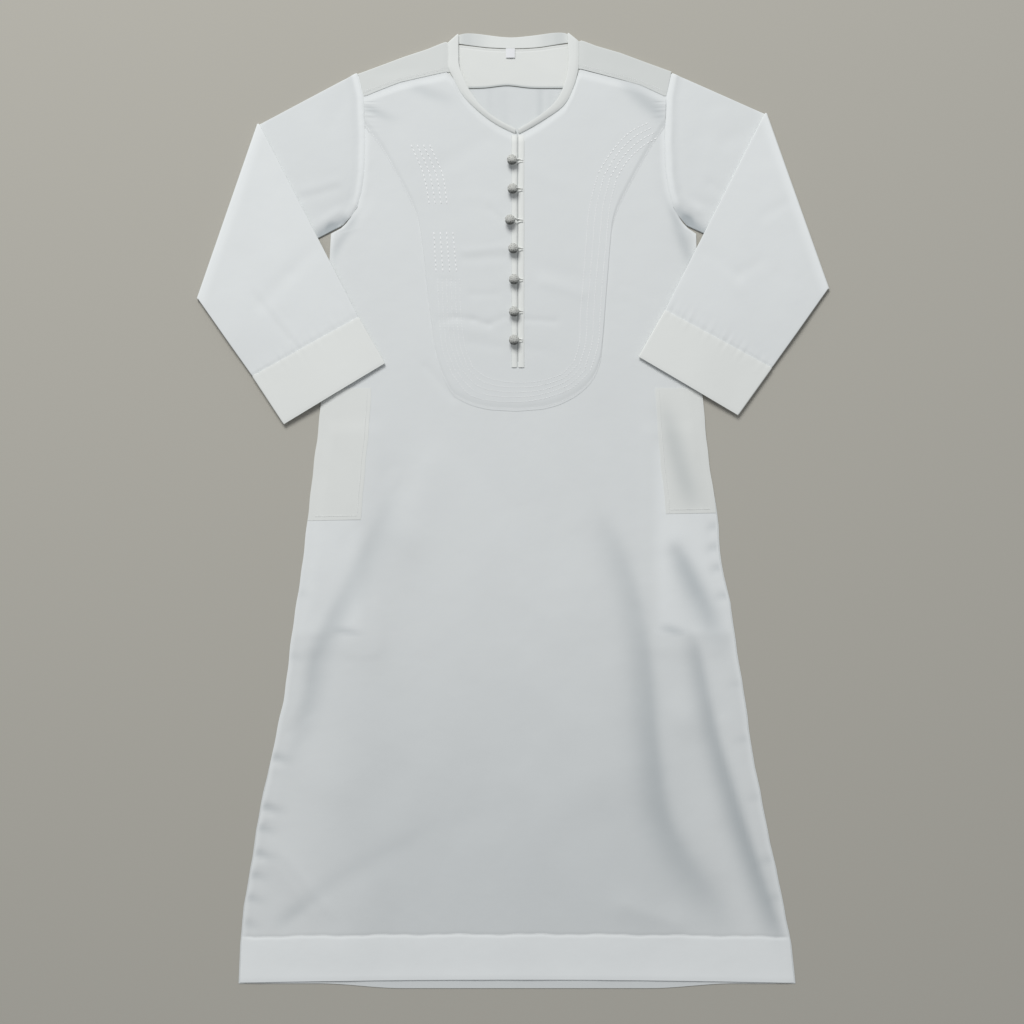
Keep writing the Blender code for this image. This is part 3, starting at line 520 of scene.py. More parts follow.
# %% Heights of the layers
FRONT_UNDER = 2.7
SIDE_UNDER = 1.35
LOFT_MOST = 2.1
SIDE_EASE = 26.0
BAG_INNER = 216.0
BAG_FROM_SEAM = 34.0
BAG_TOP = 95.0
BAG_FOOT = -181.0
BAG_LIFT = 1.0
WALL = 1.0
LAYER = 1.35
HEM_DEPTH = 66.0
FOLD_MORE = 0.9
VALLEY_DEPTH = 1.6


def relief(table, x, y):
    """The sum of a table's folds at many points at once."""
    rise = np.zeros(np.shape(x))
    for x0, y0, x1, y1, high, wide in table:
        dx, dy = x1 - x0, y1 - y0
        t = np.clip(((x - x0) * dx + (y - y0) * dy) / (dx * dx + dy * dy), 0.0, 1.0)
        away = np.hypot(x - x0 - t * dx, y - y0 - t * dy)
        rise = rise + high * np.exp(-((away / wide) ** 2))
    return rise


def refine(rulings, steps=5):
    """More rows between those of a table, on smooth curves through them."""
    given = np.array(rulings)
    at = np.concatenate([[0.0], np.cumsum(np.hypot(*np.diff(given[:, :2], axis=0).T))])
    fine = np.concatenate([np.linspace(a, b, steps, endpoint=False) for a, b in zip(at, at[1:])] + [[at[-1]]])
    slope = np.gradient(given, at, axis=0)
    k = np.clip(np.searchsorted(at, fine, side="right") - 1, 0, len(at) - 2)
    wide = (at[k + 1] - at[k])[:, None]
    t = ((fine - at[k]) / wide[:, 0])[:, None]
    return (
        (2 * t**3 - 3 * t**2 + 1) * given[k] + (t**3 - 2 * t**2 + t) * wide * slope[k]
        + (3 * t**2 - 2 * t**3) * given[k + 1] + (t**3 - t**2) * wide * slope[k + 1]
    )


print("the front lies over the floor by mm:", SIDE_UNDER, "at its seams,", FRONT_UNDER, "at its middle")

# %% [markdown]
# Many pieces ask how deep the valleys are at their points. That is worked out once, on a map
# with a point every 4 mm, and then read from the map between its points.

# %% Valley map
def valley_map(x, y):
    """How far the nearest part of any valley presses each point, from 0 to 1."""
    deep = np.zeros(np.shape(x))
    for rows in VALLEYS.values():
        line = refine(rows, 8)
        for (x0, y0, d0, e0, w0), (x1, y1, d1, e1, w1) in zip(line, line[1:]):
            dx, dy = x1 - x0, y1 - y0
            t = np.clip(((x - x0) * dx + (y - y0) * dy) / (dx * dx + dy * dy), 0.0, 1.0)
            away = np.hypot(x - x0 - t * dx, y - y0 - t * dy)
            east = (x - x0) * abs(dy) + (y - y0) * dx * (1.0 if dy < 0.0 else -1.0) > 0.0
            wide = np.where(east, e0 + t * (e1 - e0), w0 + t * (w1 - w0))
            deep = np.maximum(deep, (d0 + t * (d1 - d0)) * np.exp(-((away / wide) ** 2)))
    return deep


MAP_STEP = 4.0
map_x = np.arange(-480.0, 481.0, MAP_STEP)
map_y = np.arange(-700.0, 641.0, MAP_STEP)
valley_depths = valley_map(*np.meshgrid(map_x, map_y))


def pressed_and_painted_shade(x, y):
    """How far valleys press the cloth down and how much painted shade they get, at many points at once, read
    from the map.
    """
    u = np.clip((np.asarray(x) - map_x[0]) / MAP_STEP, 0.0, len(map_x) - 1.001)
    v = np.clip((np.asarray(y) - map_y[0]) / MAP_STEP, 0.0, len(map_y) - 1.001)
    i, j = v.astype(int), u.astype(int)
    a, b = v - i, u - j
    low = valley_depths[i, j] * (1.0 - b) + valley_depths[i, j + 1] * b
    high = valley_depths[i + 1, j] * (1.0 - b) + valley_depths[i + 1, j + 1] * b
    return low * (1.0 - a) + high * a


print("valley map points:", valley_depths.size, " deepest:", round(float(valley_depths.max()), 2))

# %% [markdown]
# The height of the front at a point is its height in the solids plus all the creases that
# reach it. It is higher over the pocket bags, and lower at its seams and its hem. Every piece
# that lies on the front uses the same function, and so stays clear of it.

# %% Height of the front
def over_bag(x, y, soft=26.0):
    """How far a point lies over a pocket bag, eased over a soft border."""
    outer = np.where(x < 0.0, np.abs(body_edge(y, 1)), body_edge(y, 2)) - BAG_FROM_SEAM
    reach = soft + 14.0
    across = ease((np.abs(x) - BAG_INNER + reach) / soft) * ease((outer + reach - np.abs(x)) / soft)
    return across * ease((y - BAG_FOOT + reach) / soft) * ease((BAG_TOP + reach - y) / soft)


def bag_tone(x, y):
    """How far a pocket bag shows through the front as a whiter patch, with soft borders."""
    inner = ease((-208.0 - x) / 26.0) + ease((x - 195.0) / 26.0)
    return inner * ease((y - BAG_FOOT + 4.0) / 14.0) * ease((BAG_TOP + 14.0 - y) / 30.0)


def front_under(x, y):
    """Height of the underside of the front's solid over the surface."""
    rise = relief(FOLDS, x, y)
    under_sleeve = ease((y - 95.0) / 60.0) * ease((np.abs(x) - 150.0) / 30.0)
    bag = over_bag(x, y)
    rise = np.maximum(rise * (1.0 - 0.9 * under_sleeve), -1.1 + 0.2 * bag) + BAG_LIFT * bag
    near = ease(np.minimum(x - body_edge(y, 1), body_edge(y, 2) - x) / SIDE_EASE)
    near = near + (1.0 - near) * ease((y - 430.0) / 90.0)
    full = FRONT_UNDER + np.minimum(rise, LOFT_MOST) - SIDE_UNDER
    full = full * (0.45 + 0.55 * ease((y - hem_front(x)) / 60.0))
    return SIDE_UNDER + full * near


def ripple(along, away, pitch, depth, reach):
    """Uneven small gathers beside a line of stitches."""
    turn = 2.0 * math.pi * along / pitch
    wave = 0.55 * np.sin(turn) + 0.3 * np.sin(0.63 * turn + 1.3) + 0.25 * np.sin(1.71 * turn + 0.4)
    return depth * wave * np.exp(-((away / reach) ** 2))


def side_puckers(x, y):
    """Short pleats that run in from the side seams and fade out."""
    rise = np.zeros(np.shape(x))
    for side, at, long, high in SIDE_PUCKERS:
        inward = (x - body_edge(y, 1)) if side < 0 else (body_edge(y, 2) - x)
        fade = ease(inward / 4.0) * (1.0 - ease(inward / long))
        rise = rise + high * fade * np.exp(-(((y - at + 0.25 * inward) / 6.5) ** 2))
    return rise


def slack(x, y):
    """Broad shallow waves of cloth that nothing holds taut."""
    broad = 0.22 * np.sin(x / 23.0 + 0.7 * np.sin(y / 61.0)) * np.sin(y / 37.0 + 1.1 * np.sin(x / 53.0))
    return broad + 0.07 * np.sin(x / 10.3 + y / 29.0 + 2.0 * np.sin(y / 83.0))


def hem_seam(x):
    """Height of the hem's sewing line over the hem, a little uneven."""
    return HEM_DEPTH + 0.7 * np.sin(x / 17.0) + 0.5 * np.sin(x / 6.3 + 1.0)


def cloth_height(x, y):
    """Middle of the front's thin cloth: the solid's middle with all the finer creases on it."""
    edge = np.minimum(x - body_edge(y, 1), body_edge(y, 2) - x)
    fine = relief(CREASES, x, y) + side_puckers(x, y) * (y < 401.0)
    armhole = (y > 425.0) * (y < 592.0)
    fine = fine + armhole * ripple(y, edge, 7.5, 0.5, 13.0) + slack(x, y) * ease((edge - 8.0) / 30.0)
    hem = y - hem_front(x)
    sewn = hem - hem_seam(x)
    fine = fine + ripple(x, np.abs(sewn - 4.0), 15.0, 0.3, 9.0)
    fine = fine - 0.45 * np.exp(-((sewn / 2.2) ** 2)) + 0.3 * (1.0 - ease((sewn + 4.0) / 4.0))
    fine = fine * (0.25 + 0.75 * ease(edge / 10.0))
    tucked = 0.55 * (1.0 - ease(edge / 5.0)) * (y < 420.0)
    turned = 0.45 * (1.0 - ease(hem / 4.0))
    loft = FOLD_MORE * np.maximum(relief(FOLDS, x, y), 0.0) * ease(edge / 30.0) * (y < 130.0)
    high = front_under(x, y) + WALL / 2.0 + loft + fine - tucked - turned - VALLEY_DEPTH * pressed_and_painted_shade(x, y)
    return np.maximum(high, 1.15 + 1.4 * over_bag(x, y) * ease((edge - 30.0) / 6.0))


probe_y = np.array([300.0, -300.0])
print("height of the front in mm, at chest and skirt:", np.round(cloth_height(0.0 * probe_y, probe_y), 2))

# %% [markdown]
# A piece of cloth starts as a flat grid, as cloth starts on the cutting table. Its points are
# then set in rows, each row a line across the piece, and Solidify gives it its 0.6 mm. A
# grid keeps the weave's two directions.

# %% Grid and wall helpers
CLOTH = 0.6


def set_points(piece, points):
    """Puts a grid's points where the pattern says, in millimetres."""
    piece.data.vertices.foreach_set("co", (np.asarray(points) * MM).ravel())
    piece.data.update()


def cloth_grid(name, points):
    """A grid primitive with one point for each entry of points[row][column]."""
    rows, columns = np.shape(points)[:2]
    bpy.ops.object.select_all(action="DESELECT")
    bpy.ops.mesh.primitive_grid_add(x_subdivisions=columns - 1, y_subdivisions=rows - 1, size=1.0)
    piece = bpy.context.object
    piece.name = piece.data.name = name
    set_points(piece, points)
    return piece


def number_points(piece, name, values):
    """Stores one number on each point, which a finish can read."""
    layer = piece.data.attributes.new(name, "FLOAT", "POINT")
    layer.data.foreach_set("value", np.asarray(values, dtype=float).ravel())


def cut_away(piece, cells):
    """Deletes the faces of a piece that are marked True."""
    mesh = piece.data
    for part in (mesh.vertices, mesh.edges):
        part.foreach_set("select", np.zeros(len(part), dtype=bool))
    mesh.polygons.foreach_set("select", np.asarray(cells, dtype=bool).ravel())
    bpy.context.view_layer.objects.active = piece
    bpy.ops.object.mode_set(mode="EDIT")
    bpy.context.tool_settings.mesh_select_mode = (False, False, True)
    bpy.ops.mesh.delete(type="FACE")
    bpy.ops.object.mode_set(mode="OBJECT")


def close_tube(piece):
    """Joins the first and last column of a grid that runs round a tube."""
    bpy.context.view_layer.objects.active = piece
    bpy.ops.object.mode_set(mode="EDIT")
    bpy.ops.mesh.select_all(action="SELECT")
    bpy.ops.mesh.remove_doubles(threshold=0.005 * MM)
    bpy.ops.mesh.normals_make_consistent(inside=False)
    bpy.ops.object.mode_set(mode="OBJECT")


def give_wall(piece, thick=CLOTH, offset=0.0, angle=50.0):
    """Gives cloth its thickness and soft shading that keeps the cut edges crisp."""
    bpy.context.view_layer.objects.active = piece
    piece.select_set(True)
    wall = piece.modifiers.new("wall", "SOLIDIFY")
    wall.thickness = thick * MM
    wall.offset = offset
    bpy.ops.object.modifier_apply(modifier=wall.name)
    bpy.ops.object.shade_smooth_by_angle(angle=math.radians(angle))


def dress(piece, finish, node):
    """Gives a piece its finish, hangs it on the root body and hides the solid it stands for."""
    piece.data.materials.clear()
    piece.data.materials.append(finish)
    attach(piece, "root")
    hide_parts(node)
    triangles = sum(len(p.vertices) - 2 for p in piece.data.polygons)
    print(piece.name, "triangles:", triangles)


# %% [markdown]
# The back is one flat panel on the surface, the only piece that touches it all over. It shows
# at the neck, where it carries a few soft vertical creases, and as a thin line past the
# front's seams and hem.

# %% Back panel
BACK_YOKE_SEAM = 612.0
# Painted shade over the whole back panel, which shows inside the neck
BACK_SHADE = 0.12
BACK_SLOT = 1.1
SEAM_GAP = 0.35
BACK_MIDDLE = 0.42
BACK_PAST = 2.2
BACK_CREASES = (
    (-26, 607, -25, 560, -0.25, 4), (-13.8, 607, -13, 560, 0.5, 4),
    (36.3, 607, 38, 550, 0.6, 4), (44, 607, 46, 560, -0.3, 4),
    (55.8, 607, 57, 572, 0.5, 4), (16, 604, 14, 560, 0.3, 6),
)
# Soft shadows beside those creases
BACK_SHADES = (
    (-15, 607, -14, 560, 0.14, 4), (38.3, 607, 40, 555, 0.2, 4),
    (52.5, 607, 54, 575, 0.12, 3), (-32, 607, -30, 575, 0.08, 5),
)


def back_seam(x):
    """The yoke's back seam, which arches a little where the cloth is pulled up at the neck."""
    return BACK_YOKE_SEAM + 4.0 * np.exp(-(((np.asarray(x) + 8.0) / 24.0) ** 2))


across = np.linspace(0.0, 1.0, 61)
levels = np.concatenate([
    np.linspace(-684.0, 401.0, 60), np.linspace(405.0, 606.0, 44),
    np.linspace(607.0, BACK_YOKE_SEAM - BACK_SLOT, 8),
])
back = []
for n, y in enumerate(levels):
    left = body_edge(y, 1) - BACK_PAST * float(ease((-340.0 - y) / 60.0))
    right = body_edge(y, 2) + BACK_PAST * float(ease((40.0 - y) / 60.0))
    x = left + across * (right - left)
    at = hem_back(x) if n == 0 else np.full(x.shape, y)
    at = at + (back_seam(x) - BACK_YOKE_SEAM) * float(ease((y - 540.0) / 72.0))
    high = BACK_MIDDLE + relief(BACK_CREASES, x, at)
    back.append(np.stack([x, at, high], axis=1))
back_panel = cloth_grid("back_cloth", back)
back_x, back_y = np.array(back)[..., 0], np.array(back)[..., 1]
# Painted shade: a dark painted shadow line along the yoke's back seam, and soft painted shadows beside the
# creases
back_seam_shadow = 0.9 * np.exp(-(((back_seam(back_x) - back_y) / 1.8) ** 2))
number_points(back_panel, "pressed_and_painted_shade", BACK_SHADE + back_seam_shadow + relief(BACK_SHADES, back_x, back_y))
give_wall(back_panel)
dress(back_panel, body_cloth, "back_panel")

# %% [markdown]
# Two pocket bags hang inside, between front and back. They don't show, but the front lies
# higher and whiter over them.

# %% Pocket bags
def bag_cloth(column):
    """One pocket bag with rounded lower corners."""
    rows = []
    for v in np.concatenate([np.linspace(0.0, 0.14, 8), np.linspace(0.2, 1.0, 14)]):
        y = BAG_FOOT + v * (BAG_TOP - BAG_FOOT)
        narrow = 12.0 * (1.0 - ease(v / 0.14))
        inner = BAG_INNER + narrow
        outer = abs(body_edge(y, column)) - BAG_FROM_SEAM - narrow
        ends = (-outer, -inner) if column == 1 else (inner, outer)
        rows.append([(x, y, WALL + SEAM_GAP + 0.4) for x in np.linspace(*ends, 12)])
    return rows


for side, column in (("left", 1), ("right", 2)):
    bag = cloth_grid("pocket_bag_cloth_" + side, bag_cloth(column))
    number_points(bag, "doubled", np.ones(len(bag.data.vertices)))
    give_wall(bag)
    dress(bag, body_cloth, "pocket_bag_" + side)

# %% [markdown]
# The front is one long panel that widens toward the hem. Its columns run from a side seam to
# the slit at the middle, and are closest at the seams, where small puckers need them. The
# hem is turned up and stitched, so it is a doubled, brighter band with a fine groove above.

# %% Front panel
HALF_COLUMNS = np.concatenate([np.linspace(0.0, 0.06, 9)[:-1], np.linspace(0.06, 1.0, 60)])
HEM_LEVELS = np.concatenate([
    [-684.0, -683.0, -681.0], np.arange(-676.0, -626.0, 5.5), np.arange(-624.0, -606.0, 1.8),
])
SKIRT_LEVELS = np.arange(-602.0, 236.0, 4.7)
CHEST_LEVELS = np.arange(241.0, 401.0, 8.0)
TOP_STEPS = np.linspace(0.0, 1.0, 27)
# Most painted shade on the lower skirt, where the light is weaker toward the hem
HEM_FALLOFF_SHADE_MOST = 0.2
BAG_WHITE_LEFT, BAG_WHITE_RIGHT = 0.34, 0.5
SEAM_WHITE, SEAM_WHITE_REACH = 0.5, 9.0
HEM_WHITE = 0.86


def tuck(x, y, z, under):
    """Cloth that dips to a height where it passes under the yoke and the neckband."""
    near = ease(1.0 - (read(FRONT_TOP, 1, x) - y) / 13.0)
    return z + (under - z) * near


def column_x(y, u, side):
    """Where a column crosses a height: u is 0 at the side seam and 1 at the slit."""
    if side < 0:
        return body_edge(y, 1) + u * (SLIT_LEFT - body_edge(y, 1))
    return body_edge(y, 2) + u * (SLIT_RIGHT - body_edge(y, 2))


def column_tops(u, side):
    """The height at which each column ends, tucked under the yoke and neckband."""
    y = np.full(u.shape, 600.0)
    for _ in range(40):
        x = column_x(y, u, side)
        low = np.min([read(FRONT_TOP, 1, x + near) for near in (-3.0, 0.0, 3.0)], axis=0)
        y = 0.5 * y + 0.5 * (low - 0.8)
    return y


def front_half(side):
    """Plan points of one half of the front, rows from the hem up."""
    u = HALF_COLUMNS
    tops = column_tops(u, side)
    rows = []
    for level in np.concatenate([HEM_LEVELS, SKIRT_LEVELS, CHEST_LEVELS]):
        x = column_x(np.full(u.shape, level), u, side)
        lift = (hem_front(x) + 684.0) * np.clip(1.0 - (level + 684.0) / 500.0, 0.0, 1.0)
        rows.append(np.stack([x, level + lift], axis=1))
    for step in TOP_STEPS:
        y = 401.0 + step * (tops - 401.0)
        rows.append(np.stack([column_x(y, u, side), y], axis=1))
    return np.array(rows)


plan = np.concatenate([front_half(-1), front_half(1)[:, ::-1]], axis=1)
print("front points, rows and columns:", plan.shape[:2])

# %% [markdown]
# The two halves make one grid, with a column of cells between them that is deleted as far
# down as the slit goes. The whiter numbers for the finish follow from the layers below: the
# hem and the strips over the seams and the bags are whiter. Painted shade greys the valleys
# and puckers, and greys the lower skirt a little, where the light is weaker toward the hem.

# %% Front cloth and its tones
plan_x, plan_y = plan[..., 0], plan[..., 1]
bib_inside = ease((plan_y - read(BIB_EDGE, 1, plan_x) - 4.0) / 8.0)
front_z = tuck(plan_x, plan_y, cloth_height(plan_x, plan_y) - 0.3 * bib_inside, 1.75)
front_panel = cloth_grid("front_cloth", np.dstack([plan, front_z]))
slit_cell = len(HALF_COLUMNS) - 1
cells = np.zeros((plan.shape[0] - 1, plan.shape[1] - 1), dtype=bool)
cells[:, slit_cell] = plan[:-1, slit_cell, 1] >= SLIT_FOOT - 4.0
above_hem = plan_y - hem_front(plan_x)
hem_share = 1.0 - ease((above_hem - hem_seam(plan_x) + 1.0) / 2.0)
hem_share = hem_share * (HEM_WHITE + (1.0 - HEM_WHITE) * ease((34.0 - above_hem) / 30.0))
bag_share = np.where(plan_x > 0.0, BAG_WHITE_RIGHT, BAG_WHITE_LEFT) * bag_tone(plan_x, plan_y)
from_seam = np.minimum(plan_x - body_edge(plan_y, 1), body_edge(plan_y, 2) - plan_x)
seam_share = SEAM_WHITE * (1.0 - ease(from_seam / SEAM_WHITE_REACH))
number_points(front_panel, "doubled", np.maximum.reduce([hem_share, bag_share, seam_share]))
# Painted shade: greyer toward the hem where the light is weaker, in the puckers and in the valleys
hem_falloff_shade = HEM_FALLOFF_SHADE_MOST * ease((-60.0 - plan_y) / 480.0) * ease((330.0 - np.abs(plan_x)) / 140.0)
pucker_shade = 0.4 * np.maximum(-side_puckers(plan_x, plan_y), 0.0)
painted_shade_total = pressed_and_painted_shade(plan_x, plan_y) + pucker_shade + hem_falloff_shade * (1.0 - hem_share)
number_points(front_panel, "pressed_and_painted_shade", np.clip(painted_shade_total, 0.0, 1.0) * (1.0 - 0.7 * hem_share))
cut_away(front_panel, cells)
give_wall(front_panel)
dress(front_panel, body_cloth, "front_panel")

# %% [markdown]
# The bib is a second layer on the chest with a U-shaped lower edge, sewn flat all round. Its
# cloth lies one layer above the front and comes down onto it along the edge, so the step is
# as thin as cloth. Sewing through two layers leaves the short creases that run across it.

# %% Bib
BIB_EDGE_LIFT = 0.5
bib_columns = np.concatenate([
    np.linspace(BIB_EDGE[0][0], SLIT_LEFT, 84), np.linspace(SLIT_RIGHT, BIB_EDGE[-1][0], 82),
])
bib_rows = np.concatenate([np.linspace(0.0, 0.03, 6)[:-1], np.linspace(0.03, 1.0, 158)])


def bib_foot(x):
    """The bib's lower edge, rounded between the rows of its table."""
    return np.mean([read(BIB_EDGE, 1, x + near) for near in (-6.0, -3.0, 0.0, 3.0, 6.0)], axis=0)


def bib_height(x, y):
    """Middle of the bib's cloth, which comes down onto the front along its edge."""
    inside = y - bib_foot(x)
    upper = ease((y - 200.0) / 120.0)
    edge = BIB_EDGE_LIFT - 0.35 * upper
    seam = (-0.25 + 0.22 * upper) * np.exp(-(((inside - 4.0) / 2.7) ** 2))
    return tuck(x, y, cloth_height(x, y) + edge + (LAYER - edge) * ease(inside / 16.0) + seam, 2.45)


foot = bib_foot(bib_columns)
top = read(FRONT_TOP, 1, bib_columns) + 1.0
bib_y = foot[None, :] + bib_rows[:, None] * (top - foot)[None, :]
bib_x = np.repeat(bib_columns[None, :], len(bib_rows), axis=0)
bib_x[:, 0] = body_edge(bib_y[:, 0], 1)
bib_x[:, -1] = body_edge(bib_y[:, -1], 2)
bib = cloth_grid("bib_cloth", np.dstack([bib_x, bib_y, bib_height(bib_x, bib_y)]))
number_points(bib, "doubled", np.zeros(bib_x.shape))
# Painted shade in the valleys, and a little over the whole bib
number_points(bib, "pressed_and_painted_shade", 0.03 + pressed_and_painted_shade(bib_x, bib_y))
bib_cells = np.zeros((bib_x.shape[0] - 1, bib_x.shape[1] - 1), dtype=bool)
bib_cells[:, 83] = bib_y[:-1, 83] >= SLIT_FOOT
cut_away(bib, bib_cells)
give_wall(bib)
dress(bib, body_cloth, "bib")

# %% [markdown]
# Two narrow plackets bind the slit. Each is a folded strip, so it is a little crowned, lies
# close at its sewn edge, and has a fold along the slit. The left one's fold goes under, and
# painted shade darkens its edges, so the slit shows as a grey line.

# %% Plackets
PLACKETS = {"left": (-1.2, 6.1), "right": (8.4, 16.7)}
STRIP_LIFT = 0.95
FOLD_UNDER = 1.7


def strip_cloth(span, fold_side):
    """One folded strip along the slit, crowned across its width."""
    rows = []
    share = np.linspace(0.0, 1.0, 13)
    crown = np.sin(np.pi * share) ** 0.5
    out = np.zeros(13)
    if span == PLACKETS["left"]:
        share, crown = np.append(share, [1.0, 1.0]), np.append(crown, [-0.5, -0.7])
        out = np.append(out, [0.5, FOLD_UNDER])
    for y in np.linspace(SLIT_FOOT - 8.0, 543.0, 170):
        x = span[0] + share * (span[1] - span[0]) + out
        wobble = 0.25 * math.sin(y / 17.0 + fold_side) + 0.15 * math.sin(y / 6.3)
        base = bib_height(np.full(share.shape, np.mean(span)), np.full(share.shape, y))
        high = base + 0.62 + STRIP_LIFT * crown
        rows.append(np.stack([x + wobble * 0.5, np.full(share.shape, y), high], axis=1))
    return rows


for side, span in PLACKETS.items():
    strip = cloth_grid("placket_cloth_" + side, strip_cloth(span, span[0]))
    number_points(strip, "doubled", np.ones(len(strip.data.vertices)))
    strip_x = np.array([spot.co.x / MM for spot in strip.data.vertices])
    # Painted shade along the left strip's edges, in the slit
    slit_shade = 0.9 * ease((strip_x - 6.4) / 0.6) + 0.35 * (1.0 - ease((strip_x + 0.9) / 0.8))
    number_points(strip, "pressed_and_painted_shade", slit_shade * (side == "left"))
    give_wall(strip, 0.7)
    dress(strip, faced_cloth, "placket_" + side)

# %% [markdown]
# A pocket panel faces each side opening: a straight piece of cloth from under the cuff down
# to the pocket mouth, topstitched along its inner and lower edges.

# %% Pocket panels
PANEL_TOP = 177.0
PANEL_FOOT = -9.0
PANEL_TILT = 5.7
PANEL_SHARE = 0.255


def panel_cloth(side):
    """The panel's points, made from those of the front and moved out by one layer."""
    rows = []
    share = np.concatenate([
        np.linspace(0.0, 0.08, 5)[:-1], np.linspace(0.08, 0.92, 22), np.linspace(0.92, 1.0, 5)[1:],
    ])
    for v in np.concatenate([np.linspace(0.0, 0.04, 6)[:-1], np.linspace(0.04, 1.0, 44)]):
        level = PANEL_FOOT + v * (PANEL_TOP - PANEL_FOOT)
        u = share * PANEL_SHARE
        x = column_x(np.full(u.shape, level), u, side)
        y = level + PANEL_TILT * x / 300.0 * math.exp(-(((level - PANEL_FOOT) / 80.0) ** 2))
        x = column_x(y, u, side)
        edge = np.minimum((1.0 - share) * 70.0, y - y.min())
        down = 0.9 * (1.0 - ease(edge / 6.0)) + 0.25 * np.exp(-(((edge - 6.0) / 1.6) ** 2))
        rows.append(np.stack([x, y, cloth_height(x, y) + LAYER - down], axis=1))
    rows = np.array(rows)
    return rows if side < 0 else rows[:, ::-1]


for side, sign in (("left", -1), ("right", 1)):
    panel = cloth_grid("pocket_panel_cloth_" + side, panel_cloth(sign))
    number_points(panel, "doubled", np.full(len(panel.data.vertices), 0.3))
    points = panel_cloth(sign)
    # Painted shade in the valleys that cross the panel
    number_points(panel, "pressed_and_painted_shade", pressed_and_painted_shade(points[..., 0], points[..., 1]))
    give_wall(panel)
    dress(panel, faced_cloth, "pocket_panel_" + side)

# %% [markdown]
# The yoke crosses the back and folds over both shoulders onto the front. It is cut double, so it
# is thicker than the body, and painted shade greys it a little on the shoulders. Seen from above,
# its front part ends in a seam with topstitching, and its back part shows inside the neck.

# %% Yoke
YOKE_WALL = 1.8
YOKE_INNER_GAP = 0.6
YOKE_NECK = (-93.6, 96.6)
YOKE_UNDER_BAND = (-88.5, 91.5)
YOKE_BAND_DIP = 1.0
# Painted shade on the shoulders, left and right
YOKE_SHADE_LEFT, YOKE_SHADE_RIGHT = 0.2, 0.27
YOKE_CREASES = (
    (-132.7, 612.5, -84, 609, -0.3, 7), (168.9, 617, 206, 584, -0.5, 9),
    (-60, 640, -40, 628, 0.2, 8), (30, 650, 60, 632, 0.2, 9),
    (-190, 632, -140, 640, -0.25, 9), (120, 655, 170, 640, -0.2, 9),
)


def yoke_lines():
    """Columns of the yoke: left part, part under the neck opening, right part."""
    side = np.concatenate([np.linspace(0.0, 0.9, 34), [0.94, 0.97, 1.0]])
    neck = np.linspace(0.02, 0.98, 60)
    return [("left", s) for s in side] + [("neck", s) for s in neck] + [("right", s) for s in side[::-1]]


def yoke_x(kind, s, y):
    """Where a column of the yoke crosses a height."""
    if kind == "neck":
        return YOKE_NECK[0] + s * (YOKE_NECK[1] - YOKE_NECK[0])
    edge = body_edge(y, 1 if kind == "left" else 2)
    return edge + s * (YOKE_UNDER_BAND[0 if kind == "left" else 1] - edge)


# Shares of the way from the back seam to the neck, closest near the neck's sewing
BACK_SHARES = np.concatenate([np.linspace(0.0, 0.86, 15), np.linspace(0.88, 1.0, 9)])


def yoke_cloth():
    bend = (YOKE_WALL + YOKE_INNER_GAP) / 2.0
    low = 0.7
    high = YOKE_WALL / 2.0 + 2.0 * bend
    turn = (high - low) / 2.0
    columns = []
    for kind, s in yoke_lines():
        x = yoke_x(kind, s, 640.0)
        crest = float(read(SHOULDER, 1, x)) - bend - YOKE_WALL / 2.0
        dip = 0.0 if kind == "neck" else float(ease((s - 0.93) / 0.05))
        crest = crest - 4.0 * dip
        back_end = float(read(BACK_NECK, 1, x)) - SEAM_GAP if kind == "neck" else crest
        line = []
        back_start = float(back_seam(x))
        for v in BACK_SHARES:
            y = back_start + v * (back_end - back_start)
            at = float(yoke_x(kind, s, y))
            under_seam = -0.3 * math.exp(-(((back_end - y - 3.4) / 0.8) ** 2))
            line.append((at, y, low + (float(relief(YOKE_CREASES, at, y)) + under_seam) * (kind == "neck")))
        for angle in np.linspace(-75.0, 75.0, 9):
            a = math.radians(angle)
            sunk = 0.5 * YOKE_BAND_DIP * dip
            line.append((x, crest + bend * math.cos(a), low + turn + (turn - sunk) * math.sin(a) - sunk))
        foot = float(read(YOKE_FRONT, 1, yoke_x(kind, s, 617.0))) + 0.9
        for v in np.linspace(0.0, 1.0, 26):
            y = crest + v * (foot - crest)
            at = float(yoke_x(kind, s, y))
            seam = -0.25 * math.exp(-(((y - foot - 3.0) / 1.6) ** 2))
            seam = seam - 0.3 * math.exp(-(((y - foot) / 1.2) ** 2))
            gathers = float(ripple(at, abs(y - foot - 3.0), 9.0, 0.18, 5.0))
            creased = float(relief(YOKE_CREASES, at, y))
            line.append((at, y, high + creased + seam + gathers - YOKE_BAND_DIP * dip))
        columns.append(line)
    return np.array(columns).transpose(1, 0, 2)


yoke_points = yoke_cloth()
print("yoke points, rows and columns:", yoke_points.shape[:2])

# %% [markdown]
# Over the neck only the back layer of the yoke is kept, so the neck stays open. The painted
# shade is strongest along the back seam, a painted shadow where the yoke ends in a small ridge over the back
# panel.

# %% Yoke cloth and its tones
yoke = cloth_grid("yoke_cloth", yoke_points)
kinds = [kind for kind, _ in yoke_lines()]
over_neck = np.array([a == "neck" or b == "neck" for a, b in zip(kinds, kinds[1:])])
yoke_cells = np.zeros((yoke_points.shape[0] - 1, yoke_points.shape[1] - 1), dtype=bool)
yoke_cells[len(BACK_SHARES) - 1 :, over_neck] = True
number_points(yoke, "doubled", np.full(len(yoke.data.vertices), 0.2))
yoke_all_x, yoke_all_y, yoke_all_z = np.moveaxis(yoke_points, -1, 0)
